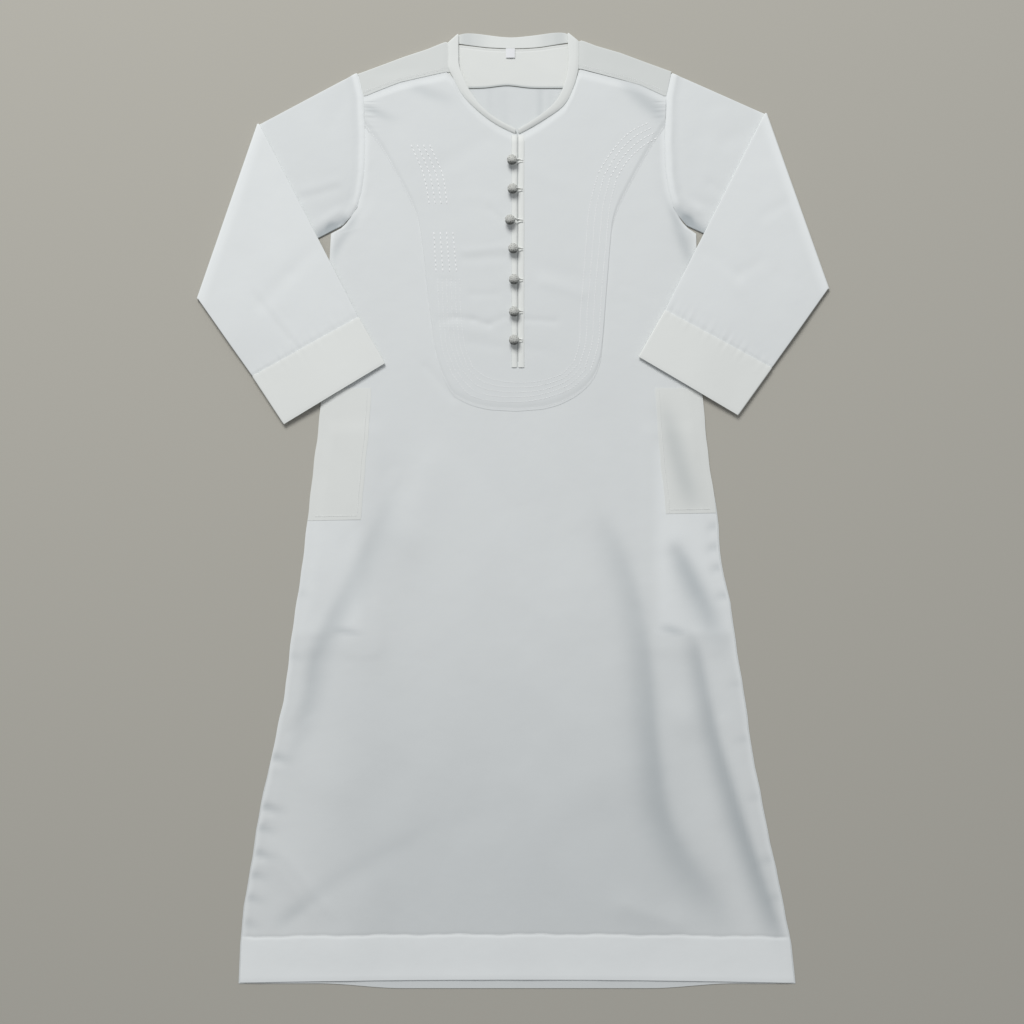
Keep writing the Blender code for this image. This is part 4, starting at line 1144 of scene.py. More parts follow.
# Painted shade on the shoulders, and a painted shadow line along the back seam
shoulder_shade = np.where(yoke_all_x > 0.0, YOKE_SHADE_RIGHT, YOKE_SHADE_LEFT) * (yoke_all_z > 2.0)
yoke_seam_shadow = 0.9 * (yoke_all_z < 1.6) * np.exp(-(((yoke_all_y - back_seam(yoke_all_x)) / 1.6) ** 2))
number_points(yoke, "pressed_and_painted_shade", shoulder_shade + yoke_seam_shadow)
cut_away(yoke, yoke_cells)
give_wall(yoke, 0.9)
dress(yoke, faced_cloth, "yoke")

# %% [markdown]
# The neckband is one narrow double strip. It stands along the front neck seam, folds flat at
# both neck points and lies along the back neck, and its two ends meet over the slit. It is
# drawn by rulings, each a short line from the seam to the free edge.

# %% Neckband
# Seam x, seam y, free x, free y, height at the seam, height at the free edge
BAND_LEFT = (
    (4.6, 545.6, 5.6, 551.8, 3.9, 4.9), (-21.5, 558.3, -17.5, 563.6, 3.9, 5.2),
    (-49.3, 578.5, -42.5, 582, 3.9, 5.4), (-72.4, 602.8, -61, 606, 3.8, 5.4),
    (-85.3, 626.6, -72.5, 630, 3.6, 5), (-92.2, 641.6, -77.4, 644.5, 3.6, 4.4),
    (-92.2, 656, -78, 662, 3.6, 3.8), (-92.6, 676, -78, 689, 3.6, 3.6),
)
BAND_BACK = (
    (-80, 676.2, -71, 691, 0.8, 0.8), (-60, 673.6, -57, 691.4, 0.8, 0.8),
    (-38, 671, -37, 689.1, 0.8, 0.8), (-18, 669.8, -17.5, 686.6, 0.8, 0.8),
    (2, 669.4, 1, 685.7, 0.8, 0.8), (20, 669.8, 19.5, 687.3, 0.8, 0.8),
    (40, 671.3, 39, 689.6, 0.8, 0.8), (61, 674.6, 57.5, 692.2, 0.8, 0.8),
    (82, 677.6, 73, 692.5, 0.8, 0.8),
)
BAND_RIGHT = (
    (95.2, 678, 79.6, 690.6, 3.6, 3.6), (95.2, 658, 80.5, 664, 3.6, 3.8),
    (95.2, 645, 81, 647, 3.6, 4.4), (88.6, 616, 75, 617.5, 3.6, 5),
    (75.2, 588.6, 64, 594, 3.8, 5.4), (46.3, 566.6, 40, 572, 3.9, 5.4),
    (24, 553.2, 19.5, 558.6, 3.9, 5.2), (9.2, 545.4, 7.6, 551.8, 3.9, 4.9),
)


print("rulings given for the neckband:", len(BAND_LEFT) + len(BAND_BACK) + len(BAND_RIGHT))

# %% [markdown]
# A smooth strip goes through the rulings. It is round across its width, with a sewn groove
# near its lower edge, and rolls from the top layer to the bottom one at both neck points.

# %% Neckband cloth
def band_roll(ruling, steps=8):
    """Rulings that roll from the upper layer round the fold to the lower one."""
    sx, sy, fx, fy = ruling[:4]
    out = Vector((-(fy - sy), fx - sx)).normalized()
    out = -out if out.y < 0.0 else out
    made = []
    for k in range(1, steps):
        angle = math.pi * k / steps
        push, z = 1.4 * math.sin(angle), 2.2 + 1.4 * math.cos(angle)
        made.append((sx + out.x * push, sy + out.y * push, fx + out.x * push, fy + out.y * push, z, z))
    return made


def band_cloth():
    left, right = BAND_LEFT[-1], BAND_RIGHT[0]
    behind = refine([(*left[:4], 0.8, 0.8), *BAND_BACK, (*right[:4], 0.8, 0.8)])
    lines = np.concatenate([
        refine(BAND_LEFT), band_roll(left), behind, band_roll(right)[::-1], refine(BAND_RIGHT),
    ])
    rows = []
    for sx, sy, fx, fy, sz, fz in lines:
        wide = math.hypot(fx - sx, fy - sy)
        row = []
        for t in np.linspace(-0.05 if sz > 2.0 else 0.0, 1.0, 13):
            rounded = 0.5 * math.sin(math.pi * max(t, 0.0)) ** 0.6
            rounded = rounded - 0.22 * math.exp(-(((t * wide - 2.2) / 0.9) ** 2))
            rounded = rounded - 0.55 * float(1.0 - ease(t * wide / 2.5))
            row.append((sx + t * (fx - sx), sy + t * (fy - sy), sz + t * (fz - sz) + rounded * (sz > 2.0)))
        rows.append(row)
    return rows


def corner_shade(x, y):
    """How much painted shade the back band takes in the two inner corners, where the front ends fold over it.
    """
    left = np.exp(-(((x + 68.0) / 9.0) ** 2)) + 0.6 * np.exp(-(((x + 52.0) / 14.0) ** 2))
    right = np.exp(-(((x - 69.0) / 9.0) ** 2)) + 0.6 * np.exp(-(((x - 52.0) / 14.0) ** 2))
    return np.clip(left + right, 0.0, 1.0) * ease((y - 668.0) / 6.0)


band_points = np.array(band_cloth())
neckband = cloth_grid("neckband_cloth", band_points)
number_points(neckband, "doubled", np.ones(len(neckband.data.vertices)))
band_x, band_y, band_z = np.moveaxis(band_points, -1, 0)
# Painted shade: a little over the whole band, more in the inner corners
number_points(neckband, "pressed_and_painted_shade", 0.1 + 0.35 * corner_shade(band_x, band_y) * (band_z < 2.6))
give_wall(neckband, 1.2)
soften = neckband.modifiers.new("soft_edges", "SUBSURF")
soften.levels = soften.render_levels = 1
bpy.ops.object.modifier_apply(modifier=soften.name)
dress(neckband, faced_cloth, "neckband")

# %% [markdown]
# A bare tab of woven tape is sewn in at the middle of the back neck. It is folded, so it is a
# soft loop: closed at its lower end, with its upper end under the neckband.

# %% Tab
TAB_X, TAB_Y, TAB_WIDE, TAB_LONG = -3.0, 662.4, 13.0, 13.4
TAB_MIDDLE = 2.45
tab_rows = []
for v in np.linspace(0.0, 1.0, 15):
    row = []
    for u in np.linspace(0.0, 1.0, 11):
        curl = 0.35 * math.sin(math.pi * u) + 0.2 * (1.0 - v)
        row.append((TAB_X + (u - 0.5) * TAB_WIDE, TAB_Y + (v - 0.5) * TAB_LONG, TAB_MIDDLE + curl))
    tab_rows.append(row)
tab = cloth_grid("neck_tab_tape", tab_rows)
number_points(tab, "doubled", np.ones(len(tab.data.vertices)))
give_wall(tab, 0.5)
dress(tab, label_tape, "size_label")

# %% [markdown]
# A sleeve is a flattened tube. It lies on the surface from the armhole to the elbow, rolls
# over there, and comes back on top of itself as the forearm. It is drawn as rings: each ring
# goes along one face, round an edge, back along the other face and round the other edge.

# %% Sleeve tables
# Each sleeve's second number is the painted shade over its upper arm
SLEEVES = {
    "left": {
        "side": -1, "pressed_and_painted_shade": 0.06,
        "fold": ((-367.0, 558.0), (-454.0, 306.5)), "seam": ((-224.0, 279.5), (-375.5, 195.5)),
        "end": ((-185.5, 212.0), (-329.5, 125.5)),
    },
    "right": {
        "side": 1, "pressed_and_painted_shade": 0.02,
        "fold": ((365.6, 573.5), (455.5, 321.0)), "seam": ((222.0, 289.5), (374.5, 207.5)),
        "end": ((183.5, 221.5), (325.0, 138.5)),
    },
}
HEAD_HEIGHTS = (632.0, 600.0, 570.0, 540.0, 515.0, 490.0, 465.0, 445.0, 428.0, 413.0)
HEAD_GAPS = (1.6, 0.8, 0.8, 0.8, 0.8, 0.8, 0.8, 0.9, 1.8, 3.8)
ROLL_AXIS = 3.2
# Start x, start y, end x, end y, rise, half width, for the upper arm and for the forearm
UPPER_CREASES = (
    (-309.6, 451.7, -257.4, 466.2, -0.7, 6), (-300, 462, -252, 476, 0.5, 7),
    (-246, 597, -262, 560, -0.5, 12), (-300, 560, -270, 500, 0.4, 20),
    (284.9, 583.6, 321.2, 593.8, -0.6, 10), (306.7, 531.4, 361.8, 564.8, -0.6, 11),
    (284.9, 473.4, 306.7, 458.9, -0.6, 6), (270, 540, 262, 480, -0.4, 14),
    (240, 455, 290, 440, -0.5, 7), (-235, 450, -270, 430, -0.5, 7),
    (-246, 421, -276, 402, -1.4, 7), (-254, 432, -288, 408, 1, 7),
    (238, 438, 256, 421, -1.4, 8), (256, 421, 276, 400, -1.4, 8),
    (248, 452, 270, 434, 1, 7), (270, 434, 290, 408, 1, 7),
)
# Painted shade where the sleeve turns under beside the armpit: the fifth number says how dark it is
UNDERARM_SHADE = (
    (-244, 420, -262, 410, 0.75, 6.5), (-262, 410, -278, 399, 0.9, 7),
    (240, 434, 254, 420, 0.6, 7), (254, 420, 276, 399, 0.9, 9),
)
FOREARM_CREASES = (
    (-284.9, 377.7, -322.6, 341.5, -0.7, 10), (-322.6, 341.5, -363.2, 298, -0.7, 11),
    (-338, 365, -330, 300, 0.5, 16), (-373.4, 312.5, -322.6, 247.2, -0.5, 5),
    (-366, 314, -315, 250, 0.35, 5), (-262, 312, -250, 303, -0.4, 6),
    (-380, 480, -400, 400, 0.4, 24), (277.7, 377.7, 325.5, 340, -0.7, 9),
    (325.5, 340, 357.4, 358.9, -0.5, 8), (300, 350, 330, 320, 0.4, 9),
    (363.2, 425.6, 405.3, 450.2, -0.5, 7), (383.5, 342, 392, 332, -0.4, 7),
    (380, 500, 395, 430, 0.4, 22), (250, 330, 300, 270, 0.35, 16),
)
ACROSS = np.concatenate([
    np.linspace(0.0, 0.06, 5)[:-1], np.linspace(0.06, 0.94, 40), np.linspace(0.94, 1.0, 5)[1:],
])
EDGE_TURNS = np.linspace(-72.0, 72.0, 7)


print("sleeve creases:", len(UPPER_CREASES) + len(FOREARM_CREASES))

# %% [markdown]
# A ring needs places along a plan line, places between two lines, and the direction in which
# its round edges bulge.

# %% Sleeve ring helpers
def along(line, t):
    """The point a share t of the way along a plan line, by length."""
    line = np.array(line)
    reach = np.concatenate([[0.0], np.cumsum(np.hypot(*np.diff(line, axis=0).T))])
    return np.stack([np.interp(np.asarray(t) * reach[-1], reach, line[:, k]) for k in (0, 1)], axis=-1)


def between(first, second, t, w):
    """Points on the ruled plan between two lines."""
    return (1.0 - w) * along(first, t) + w * along(second, t)


def square_to(start, end, toward):
    """The plan direction square to an edge that points the given way."""
    run = (Vector(end) - Vector(start)).normalized()
    out = Vector((run.y, -run.x))
    return out if out.dot(Vector(toward)) > 0.0 else -out


def tube_ring(plan, height_a, height_b, out_last, out_first):
    """One ring of a flattened tube: its first face, an edge, its second face, an edge."""
    flat = plan(ACROSS)
    ring = [np.column_stack([flat, height_a(ACROSS)])]
    for t, out in ((1.0, out_last), (0.0, out_first)):
        tip = plan(np.array([t]))[0]
        za, zb = float(height_a(t)), float(height_b(t))
        turns = np.radians(EDGE_TURNS if t == 1.0 else -EDGE_TURNS)
        bend = abs(zb - za) / 2.0
        z = (za + zb) / 2.0 + (zb - za) / 2.0 * np.sin(turns)
        push = bend * np.cos(turns)
        ring.append(np.column_stack([tip[0] + out.x * push, tip[1] + out.y * push, z]))
        if t == 1.0:
            ring.append(np.column_stack([flat[::-1], height_b(ACROSS[::-1])]))
    return np.concatenate(ring)


print("points round a sleeve ring:", 2 * len(ACROSS) + 2 * len(EDGE_TURNS))

# %% [markdown]
# The same seams shape the surface: a raised roll where the sleeve is gathered into the
# armhole, and small gathers on both sides of the cuff seam. Creases are added to the upper
# face only, and fade toward the tube's edges.

# %% Sleeves
def crown_of(t, power):
    """1 in the middle of a face and 0 at its two edges."""
    return np.clip(np.sin(np.pi * np.clip(t, 0.0, 1.0)), 0.0, 1.0) ** power


def head_at(side, y):
    """A place just inside the armhole at each height."""
    return body_edge(y, 1 if side < 0 else 2) - side * 1.0


def sleeve_rings(facts):
    side, fold, seam = facts["side"], facts["fold"], facts["seam"]
    head_x = body_edge(np.array(HEAD_HEIGHTS), 1 if side < 0 else 2) + side * np.array(HEAD_GAPS)
    head = list(zip(head_x, HEAD_HEIGHTS))
    line = (Vector(fold[1]) - Vector(fold[0])).normalized()
    under = square_to(head[-1], fold[1], (0.0, -1.0))
    over = square_to(head[0], fold[0], (0.0, 1.0))
    flat_a = lambda t: np.full(np.shape(t), 0.42)
    rings = []
    for w in np.concatenate([np.linspace(0.0, 0.16, 16)[:-1], np.linspace(0.16, 1.0, 44)[:-1]]):
        roll = 0.6 * math.sin(math.pi * w / 0.075) if w < 0.075 else 0.0
        roll = roll - 0.15 * math.exp(-(((w - 0.1) / 0.03) ** 2))
        swell = math.sin(math.pi * min(1.0, w * 1.05))

        def upper_b(t, w=w, roll=roll, swell=swell):
            t = np.asarray(t)
            start = 2.1 + 1.1 * (1.0 - ease((t - 0.55) / 0.4))
            spot = between(head, fold, t, w)
            fine = relief(UPPER_CREASES, spot[..., 0], spot[..., 1])
            fine = fine + ripple(spot[..., 1], abs(w - 0.03) * 150.0, 8.0, 0.3, 9.0)
            loft = start + (2.1 - start) * ease(w * 1.1) + 0.9 * swell * crown_of(t, 0.8)
            fine = fine * crown_of(t, 0.5) * ease((1.0 - w) / 0.1)
            return loft + roll * ease((0.97 - t) / 0.2) + fine

        turn = ease((w - 0.5) / 0.5)
        last = (under * (1.0 - turn) + line * turn).normalized()
        first = (over * (1.0 - turn) - line * turn).normalized()
        rings.append(tube_ring(lambda t, w=w: between(head, fold, t, w), flat_a, upper_b, last, first))
    first_ring = rings[0]
    top_face = slice(len(ACROSS) + len(EDGE_TURNS), 2 * len(ACROSS) + len(EDGE_TURNS))
    head_y = first_ring[top_face, 1]
    first_ring[top_face, 2] = front_under(head_at(side, head_y), head_y) - 0.45
    first_ring[top_face, 0] -= side * 1.6
    flat = tube_ring(lambda t: along(fold, t), flat_a, lambda t: np.full(np.shape(t), 2.1), line, -line)
    rings.append(flat)
    out = Vector((line.y, -line.x))
    out = -out if out.x * side < 0.0 else out
    arm = ROLL_AXIS - flat[:, 2]
    for angle in np.linspace(0.0, math.pi, 13)[1:]:
        push, high = arm * math.sin(angle), ROLL_AXIS - arm * math.cos(angle)
        rings.append(np.column_stack([flat[:, 0] + out.x * push, flat[:, 1] + out.y * push, high]))
    outer = square_to(fold[1], seam[1], (side, -1.0))
    inner = square_to(fold[0], seam[0], (-side, 1.0))
    for w in np.concatenate([np.linspace(0.0, 0.9, 46)[1:-1], np.linspace(0.9, 1.0, 14), [1.009]]):

        def lower_b(t, w=w):
            t = np.asarray(t)
            return 4.3 + 1.7 * ease(w / 0.9) - 2.0 * ease((t - 0.4) / 0.6) * ease((w - 0.45) / 0.5)

        def lower_a(t, w=w):
            t = np.asarray(t)
            spot = between(fold, seam, t, w)
            fine = relief(FOREARM_CREASES, spot[..., 0], spot[..., 1]) * crown_of(t, 0.4) * ease(w / 0.08)
            gathers = ripple(t * 172.0, (1.0 - w) * 190.0, 11.0, 0.75, 12.0) * crown_of(t, 0.3)
            sewn = -0.5 * math.exp(-(((1.0 - w) * 190.0 / 3.0) ** 2))
            loft = 1.6 + 0.9 * ease(w * 2.0) * crown_of(t, 0.7) + 0.5 * ease(w * 1.4)
            return lower_b(t, w) + loft + fine + gathers + sewn - 0.5 * (w > 1.0)

        rings.append(tube_ring(lambda t, w=w: between(fold, seam, t, w), lower_a, lower_b, outer, inner))
    return np.array(rings)


print("rings are drawn from the armhole to the elbow, round the fold and on to the cuff")

# %% [markdown]
# The cloth is whiter on the roll beside the armhole, where the seam's layers lie, and near
# the fold at the elbow. Painted shade darkens the upper arm a little, beside the roll, and where the sleeve
# turns under beside the armpit.

# %% Sleeve cloth and its tones
def sleeve_tones(points, facts):
    """How white the cloth is and how much painted shade it takes, at each point of a sleeve."""
    x, y, z = points[..., 0], points[..., 1], points[..., 2]
    inner, outer = np.array(facts["fold"][0]), np.array(facts["fold"][1])
    run = (outer - inner) / np.linalg.norm(outer - inner)
    to_fold = np.abs((x - inner[0]) * run[1] - (y - inner[1]) * run[0])
    upper = 1.0 - ease((z - 4.6) / 0.8)
    from_head = np.abs(x) - np.abs(body_edge(y, 1 if facts["side"] < 0 else 2))
    roll = ease((from_head + 1.0) / 2.0) * (1.0 - ease((from_head - 7.0) / 5.0)) * ease((y - 425.0) / 30.0)
    near_fold = 1.0 - ease(to_fold / 16.0)
    white = np.where(upper > 0.5, 0.05 + 0.5 * roll + 0.25 * near_fold, 0.25 + 0.5 * near_fold)
    # Painted shade: a soft band beside the roll
    beside = 0.07 * np.exp(-(((from_head - 15.0) / 5.0) ** 2)) * ease((y - 425.0) / 30.0)
    dark = upper * (facts["pressed_and_painted_shade"] * (1.0 - roll) + beside + np.minimum(relief(UNDERARM_SHADE, x, y), 1.0))
    return white, np.clip(dark, 0.0, 1.0)


for which, facts in SLEEVES.items():
    rings = sleeve_rings(facts)
    rings = np.concatenate([rings, rings[:, :1]], axis=1)
    sleeve = cloth_grid("sleeve_cloth_" + which, rings)
    for name, tone in zip(("doubled", "pressed_and_painted_shade"), sleeve_tones(rings, facts)):
        number_points(sleeve, name, tone)
    close_tube(sleeve)
    give_wall(sleeve)
    dress(sleeve, body_cloth, "sleeve_" + which)

# %% [markdown]
# A cuff is a double band sewn round the end of the sleeve. It is stiffer than the sleeve, so
# its face is flatter and its end is a clean rounded fold, which casts the short dark shadow.

# %% Cuffs
def cuff_rings(facts):
    side, seam, end = facts["side"], facts["seam"], facts["end"]
    long = math.dist(seam[0], end[0])
    outer = square_to(seam[1], end[1], (side, -1.0))
    inner = square_to(seam[0], end[0], (-side, 1.0))
    rings = []
    for w in np.concatenate([
        np.linspace(1.0 / long, 0.16, 9)[:-1], np.linspace(0.16, 0.95, 14)[:-1], np.linspace(0.95, 1.0, 6),
    ]):

        def cuff_b(t, w=w):
            return 6.3 - 2.0 * ease((np.asarray(t) - 0.4) / 0.6) + 0.25 * ease((w - 0.95) / 0.05)

        def cuff_a(t, w=w):
            t = np.asarray(t)
            gathers = ripple(t * 172.0, w * long, 11.0, 0.6, 12.0) * crown_of(t, 0.3)
            turned = -0.3 * ease((w - 0.95) / 0.05)
            sewn = -0.35 * math.exp(-((w * long / 2.5) ** 2))
            return 6.3 - 2.0 * ease((t - 0.4) / 0.6) + 2.4 + 0.6 * crown_of(t, 0.7) + gathers + turned + sewn

        rings.append(tube_ring(lambda t, w=w: between(seam, end, t, w), cuff_a, cuff_b, outer, inner))
    return np.array(rings)


for which, facts in SLEEVES.items():
    rings = cuff_rings(facts)
    cuff = cloth_grid("cuff_cloth_" + which, np.concatenate([rings, rings[:, :1]], axis=1))
    number_points(cuff, "doubled", np.ones(len(cuff.data.vertices)))
    close_tube(cuff)
    give_wall(cuff, 1.1)
    dress(cuff, faced_cloth, "cuff_" + which)

# %% [markdown]
# The buttons are balls wound from cord. A sphere's points are pushed out along two crossing
# sets of turns, which leaves diamond-shaped crossings as on a knotted ball. A short shank of
# thread joins each ball to the placket. One is modelled here, and copied below.

# %% Ball buttons
# X, Y from the neck down
BUTTONS = (
    (-0.7, 505.3), (0.1, 463.7), (-3.6, 418.9), (1.2, 377.7), (2.2, 333.1), (2.2, 286.7), (2.2, 245.8),
)
BALL_RADIUS = 7.0
BALL_WIDER = 1.07
CORD_TURNS = 8
CORD_HEIGHT = 0.55


def base_height(x, y):
    """Top of the left placket's solid, on which the buttons stand."""
    return float(front_under(x, y)) + 3.0 * WALL + 2.0 * SEAM_GAP + 0.1


bpy.ops.object.select_all(action="DESELECT")
bpy.ops.mesh.primitive_uv_sphere_add(segments=56, ring_count=34, radius=BALL_RADIUS * MM)
ball = bpy.context.object
count = len(ball.data.vertices)
spots = np.zeros(count * 3)
ball.data.vertices.foreach_get("co", spots)
spots = spots.reshape(-1, 3)
length = np.linalg.norm(spots, axis=1)
turn = np.arctan2(spots[:, 1], spots[:, 0])
rise = np.arcsin(np.clip(spots[:, 2] / length, -1.0, 1.0))
first = np.abs(np.cos(CORD_TURNS / 2.0 * turn + 3.2 * rise))
second = np.abs(np.cos(CORD_TURNS / 2.0 * turn - 3.2 * rise))
near_pole = ease((np.pi / 2.0 - np.abs(rise)) / 0.35)
cord_top = np.maximum(first, second) ** 0.8 * near_pole + 0.85 * (1.0 - near_pole)
spots *= ((BALL_RADIUS - CORD_HEIGHT + CORD_HEIGHT * cord_top) / BALL_RADIUS)[:, None]
spots[:, :2] *= BALL_WIDER
ball.data.vertices.foreach_set("co", spots.ravel())
number_points(ball, "turn_depth", 1.0 - cord_top)
bpy.ops.mesh.primitive_cylinder_add(
    vertices=12, radius=1.5 * MM, depth=2.4 * MM, location=(0.0, 0.0, -(BALL_RADIUS + 0.4) * MM)
)
shank = bpy.context.object
ball.select_set(True)
bpy.context.view_layer.objects.active = ball
bpy.ops.object.join()
bpy.ops.object.shade_smooth_by_angle(angle=math.radians(60.0))
print("points on one ball:", len(ball.data.vertices))

# %% [markdown]
# Each copy has its own mesh, is turned a little so that no two look alike, and stands on the
# left placket. Painted shade darkens its grooves and its side toward the hem, away from the light.

# %% Seven buttons
for number, (x, y) in enumerate(BUTTONS, start=1):
    button = ball.copy()
    button.data = ball.data.copy()
    bpy.context.scene.collection.objects.link(button)
    button.name = button.data.name = "ball_button_" + str(number)
    spots = np.zeros(len(button.data.vertices) * 3)
    button.data.vertices.foreach_get("co", spots)
    spots = spots.reshape(-1, 3)
    a = 0.7 * number
    turned = np.column_stack([
        spots[:, 0] * math.cos(a) - spots[:, 1] * math.sin(a),
        spots[:, 0] * math.sin(a) + spots[:, 1] * math.cos(a), spots[:, 2],
    ])
    depth = np.zeros(len(spots))
    button.data.attributes["turn_depth"].data.foreach_get("value", depth)
    away = turned / (BALL_RADIUS * MM)
    # Painted shade on the side toward the hem, away from the light, on top of the painted shade in the
    # grooves
    hem_side_shade = 0.9 * ease((0.1 - away[:, 1] - 0.35 * away[:, 2]) / 0.9)
    number_points(button, "painted_groove_shade", np.clip(depth + hem_side_shade, 0.0, 1.0))
    turned += np.array([x, y, base_height(x, y) + 0.3 + BALL_RADIUS]) * MM
    button.data.vertices.foreach_set("co", turned.ravel())
    button.data.update()
    dress(button, button_cord, "button_" + str(number))
bpy.data.objects.remove(ball)

# %% [markdown]
# A loop of thin cord comes out of the slit's right side, goes round under each ball and back.
# A curve with a round bevel has the shape of a cord, and is then turned into a mesh.

# %% Button loops
LOOP_CORD = 1.6
LOOP_RADIUS = 5.6
for number, (x, y) in enumerate(BUTTONS, start=1):
    bpy.ops.object.select_all(action="DESELECT")
    bpy.ops.curve.primitive_nurbs_path_add()
    loop = bpy.context.object
    loop.name = loop.data.name = "loop_cord_" + str(number)
    turns = np.radians((58.0, 96.0, 138.0, 180.0, 222.0, 264.0, 302.0))
    ring = [(LOOP_RADIUS * math.cos(a), LOOP_RADIUS * math.sin(a)) for a in turns]
    way = [(15.0 - x, 1.2), (9.5 - x, 1.9), *ring, (9.5 - x, -1.9), (15.0 - x, -1.2)]
    high = base_height(x, y) + 0.35 + LOOP_CORD / 2.0
    loop.data.splines.clear()
    line = loop.data.splines.new("NURBS")
    line.points.add(len(way) - 1)
    for n, (spot, (dx, dy)) in enumerate(zip(line.points, way)):
        low = 0.85 if n in (0, len(way) - 1) else 0.35 if n in (1, len(way) - 2) else 0.0
        spot.co = ((x + dx) * MM, (y + dy) * MM, (high - low) * MM, 1.0)
    line.order_u = 3
    line.use_endpoint_u = True
    line.resolution_u = 6
    loop.data.bevel_depth = LOOP_CORD / 2.0 * MM
    loop.data.bevel_resolution = 3
    loop.data.use_fill_caps = True
    bpy.ops.object.convert(target="MESH")
    bpy.ops.object.shade_smooth_by_angle(angle=math.radians(60.0))
    dress(loop, loop_thread, "loop_" + str(number))

# %% [markdown]
# Stitches are many small beads of thread. One bead, a stretched ball of a few dozen faces, is
# copied along each row of sewing and all are joined in one mesh. The embroidery follows a
# U-shaped band: cross lines from its outer to its inner side guide four to six rows at a time.

# %% Stitch helpers
bpy.ops.object.select_all(action="DESELECT")
bpy.ops.mesh.primitive_uv_sphere_add(segments=6, ring_count=4, radius=0.5)
bead = bpy.context.object
bead_points = np.array([v.co[:] for v in bead.data.vertices])
bead_faces = [tuple(p.vertices) for p in bead.data.polygons]
bpy.data.objects.remove(bead)


def stitches_on(path, height, long, gap, wide, tall=0.45, uneven=0.0):
    """Centres, directions and sizes of the stitches along one plan line."""
    path = np.asarray(path, dtype=float)
    reach = np.concatenate([[0.0], np.cumsum(np.hypot(*np.diff(path, axis=0).T))])
    starts = np.arange(gap / 2.0, reach[-1] - long, long + gap)
    starts = starts + uneven * np.sin(12.9898 * np.arange(len(starts)))
    a = np.stack([np.interp(starts, reach, path[:, k]) for k in (0, 1)], axis=1)
    b = np.stack([np.interp(starts + long, reach, path[:, k]) for k in (0, 1)], axis=1)
    za, zb = height(a[:, 0], a[:, 1]), height(b[:, 0], b[:, 1])
    return np.column_stack([a, za, b, zb, np.full(len(starts), wide), np.full(len(starts), tall)])


def sew(name, rows):
    """One joined mesh of all stitches in the rows."""
    all_rows = np.concatenate(rows)
    points, faces = [], []
    for ax, ay, az, bx, by, bz, wide, tall in all_rows:
        start, end = np.array([ax, ay, az]), np.array([bx, by, bz])
        run = end - start
        side = np.array([-run[1], run[0], 0.0])
        side /= np.linalg.norm(side)
        up = np.cross(run / np.linalg.norm(run), side)
        base = len(points) * len(bead_points)
        points.append((start + end) / 2.0 + bead_points @ np.array([run, side * wide, up * tall]))
        faces += [tuple(base + k for k in face) for face in bead_faces]
    mesh = bpy.data.meshes.new(name)
    mesh.from_pydata((np.concatenate(points) * MM).tolist(), [], faces)
    made = bpy.data.objects.new(name, mesh)
    bpy.context.scene.collection.objects.link(made)
    mesh.materials.append(stitch_thread)
    mesh.shade_smooth()
    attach(made, "root")
    print(name, "stitches:", len(all_rows), "triangles:", len(all_rows) * 36)
    return made


# %% [markdown]
# Embroidery in white thread on white cloth shows only by its relief and sheen. Four to six
# rows of running stitch go down from the left shoulder, round the foot of the bib and up to
# the right armhole. The rows are clear on the upper parts and finer round the foot.

# %% Embroidery
# Outer x, outer y, inner x, inner y of the band's cross lines, from the left shoulder round
GUIDE = (
    (-147.2, 530, -120.3, 530), (-128.8, 486.5, -101.5, 486.5), (-119.6, 440.1, -94.2, 440.1),
    (-113.8, 403.8, -86.3, 403.8), (-110.2, 340, -80.5, 340), (-108, 335.7, -76.1, 335.7),
    (-105.1, 269, -73.2, 269), (-100.8, 232.7, -67.4, 232.7), (-87.7, 197.9, -57.3, 206.6),
    (-61.6, 167.5, -38.4, 193.6), (-18.1, 157.3, -12.3, 186.3), (13.8, 157.3, 12.3, 184.9),
    (50, 163.1, 42.8, 187.8), (86.3, 177.6, 71.8, 197.9), (112.4, 200.8, 89.2, 215.3),
    (124, 240, 96.4, 240), (126.9, 283.5, 98.6, 283.5), (129.8, 327, 102.2, 327),
    (135.6, 385, 106.6, 385), (141.4, 443, 112.4, 443), (150.1, 479.2, 124, 487.9),
    (166, 505.3, 144.3, 519.8), (189.2, 527.1, 170.4, 547.4), (212, 541, 199, 562),
)
# First cross line, last cross line, rows, stitch length, gap, width
RUNS = (
    (0, 2, 4, 5, 1.6, 1.5), (3, 4, 4, 5, 1.6, 1.5), (5, 8, 6, 1.8, 2.2, 1.1), (8, 14, 5, 2.2, 2, 1),
    (14, 17, 4, 2.6, 1.6, 1.4), (17, 20, 4, 2.6, 1.6, 1.4), (20, 23, 4, 4.6, 1.6, 1.5),
)


def smooth_line(points, steps=8):
    """A smooth plan curve through a few points."""
    points = np.asarray(points, dtype=float)
    six = np.column_stack([points, points, points])[:, :6]
    return refine(six, steps)[:, :2]


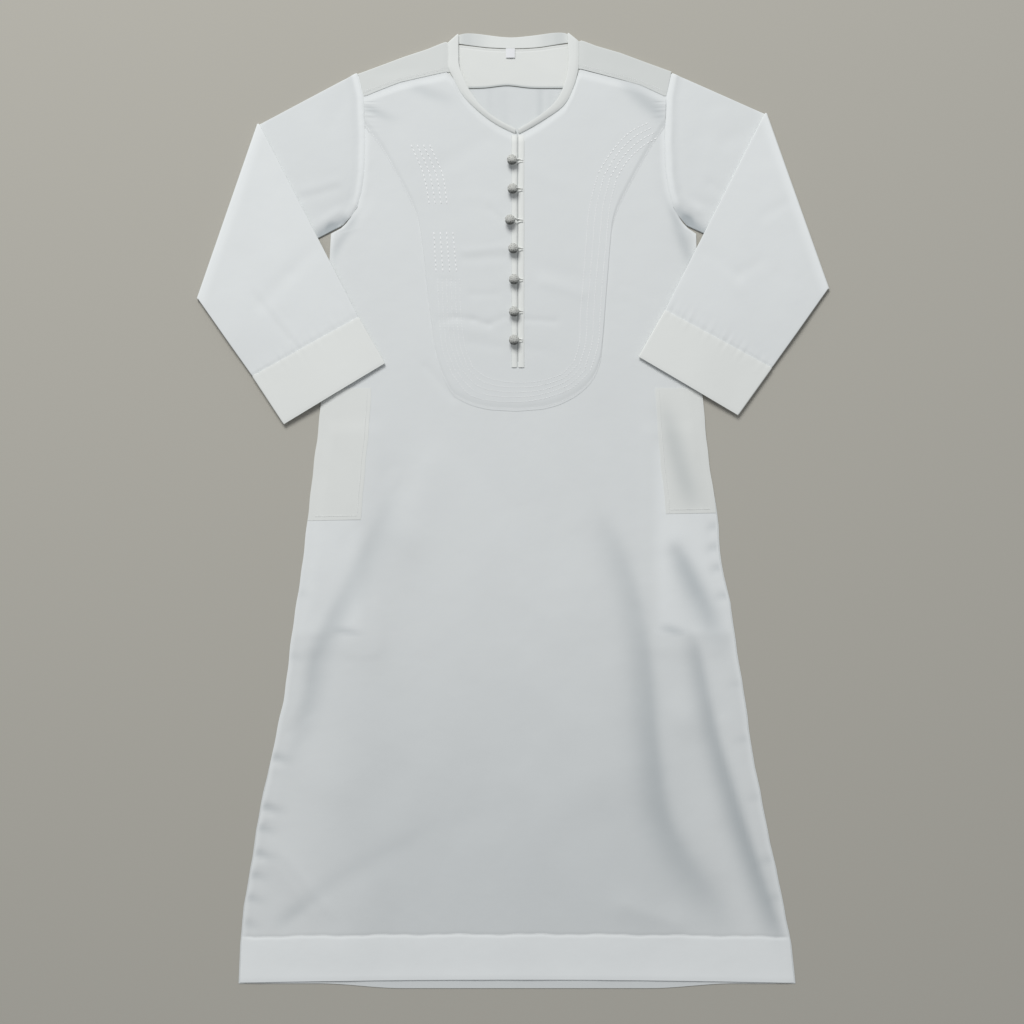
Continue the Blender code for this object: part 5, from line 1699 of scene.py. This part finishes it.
on_bib_top = lambda x, y: bib_height(x, y) + CLOTH / 2.0 + 0.08
embroidery_rows = []
for first, last, rows, long, gap, wide in RUNS:
    for f in np.linspace(0.0, 1.0, rows):
        line = [(o[0] + f * (o[2] - o[0]), o[1] + f * (o[3] - o[1])) for o in GUIDE[first : last + 1]]
        path = smooth_line(line) if len(line) > 2 else line
        embroidery_rows.append(stitches_on(path, on_bib_top, long, gap, wide, tall=0.9, uneven=0.5))
embroidery = sew("bib_embroidery", embroidery_rows)

# %% [markdown]
# Topstitching holds the seams flat: along the yoke, the bib's edge, the pocket panels and the
# hem. A stitch here is 2.2 mm long with 1 mm between; real ones are as long but only 0.3 mm
# thick, and are drawn at 0.5 mm to show.

# %% Topstitching
STITCH, SPACE, THICK = 2.2, 1.0, 0.5
edge_x = np.linspace(-214.0, 220.0, 160)
flat_x = np.linspace(-380.0, 392.0, 200)
hem_line = np.column_stack([flat_x, hem_front(flat_x) + hem_seam(flat_x)])
on_front = lambda x, y: cloth_height(x, y) + CLOTH / 2.0 + 0.05
on_bib = lambda x, y: bib_height(x, y) + CLOTH / 2.0 + 0.05
YOKE_TOP = YOKE_WALL / 2.0 + YOKE_WALL + YOKE_INNER_GAP + 0.45 - 0.1
on_yoke = lambda x, y: YOKE_TOP + relief(YOKE_CREASES, x, y)
top_rows = [
    stitches_on(hem_line, on_front, STITCH, SPACE, THICK),
    stitches_on(np.column_stack([edge_x, bib_foot(edge_x) + 3.4]), on_bib, STITCH, SPACE, THICK),
]
for x0, x1 in ((-214.0, -99.0), (101.0, 219.0)):
    x = np.linspace(x0, x1, 40)
    for off in (3.6, 6.2):
        path = np.column_stack([x, read(YOKE_FRONT, 1, x) + 0.9 + off])
        top_rows.append(stitches_on(path, on_yoke, STITCH, SPACE, THICK))
for sign in (-1, 1):
    u = np.full(60, PANEL_SHARE - 0.02)
    y = np.linspace(PANEL_FOOT + 6.0, PANEL_TOP - 2.0, 60)
    on_panel = lambda x, y: cloth_height(x, y) + LAYER + CLOTH / 2.0 + 0.05
    top_rows.append(stitches_on(np.column_stack([column_x(y, u, sign), y]), on_panel, STITCH, SPACE, THICK))
    share = np.linspace(0.03, PANEL_SHARE - 0.02, 40)
    x = column_x(np.full(40, PANEL_FOOT + 6.0), share, sign)
    y = PANEL_FOOT + 6.0 + PANEL_TILT * x / 300.0
    top_rows.append(stitches_on(np.column_stack([x, y]), on_panel, STITCH, SPACE, THICK))
topstitch = sew("topstitching", top_rows)
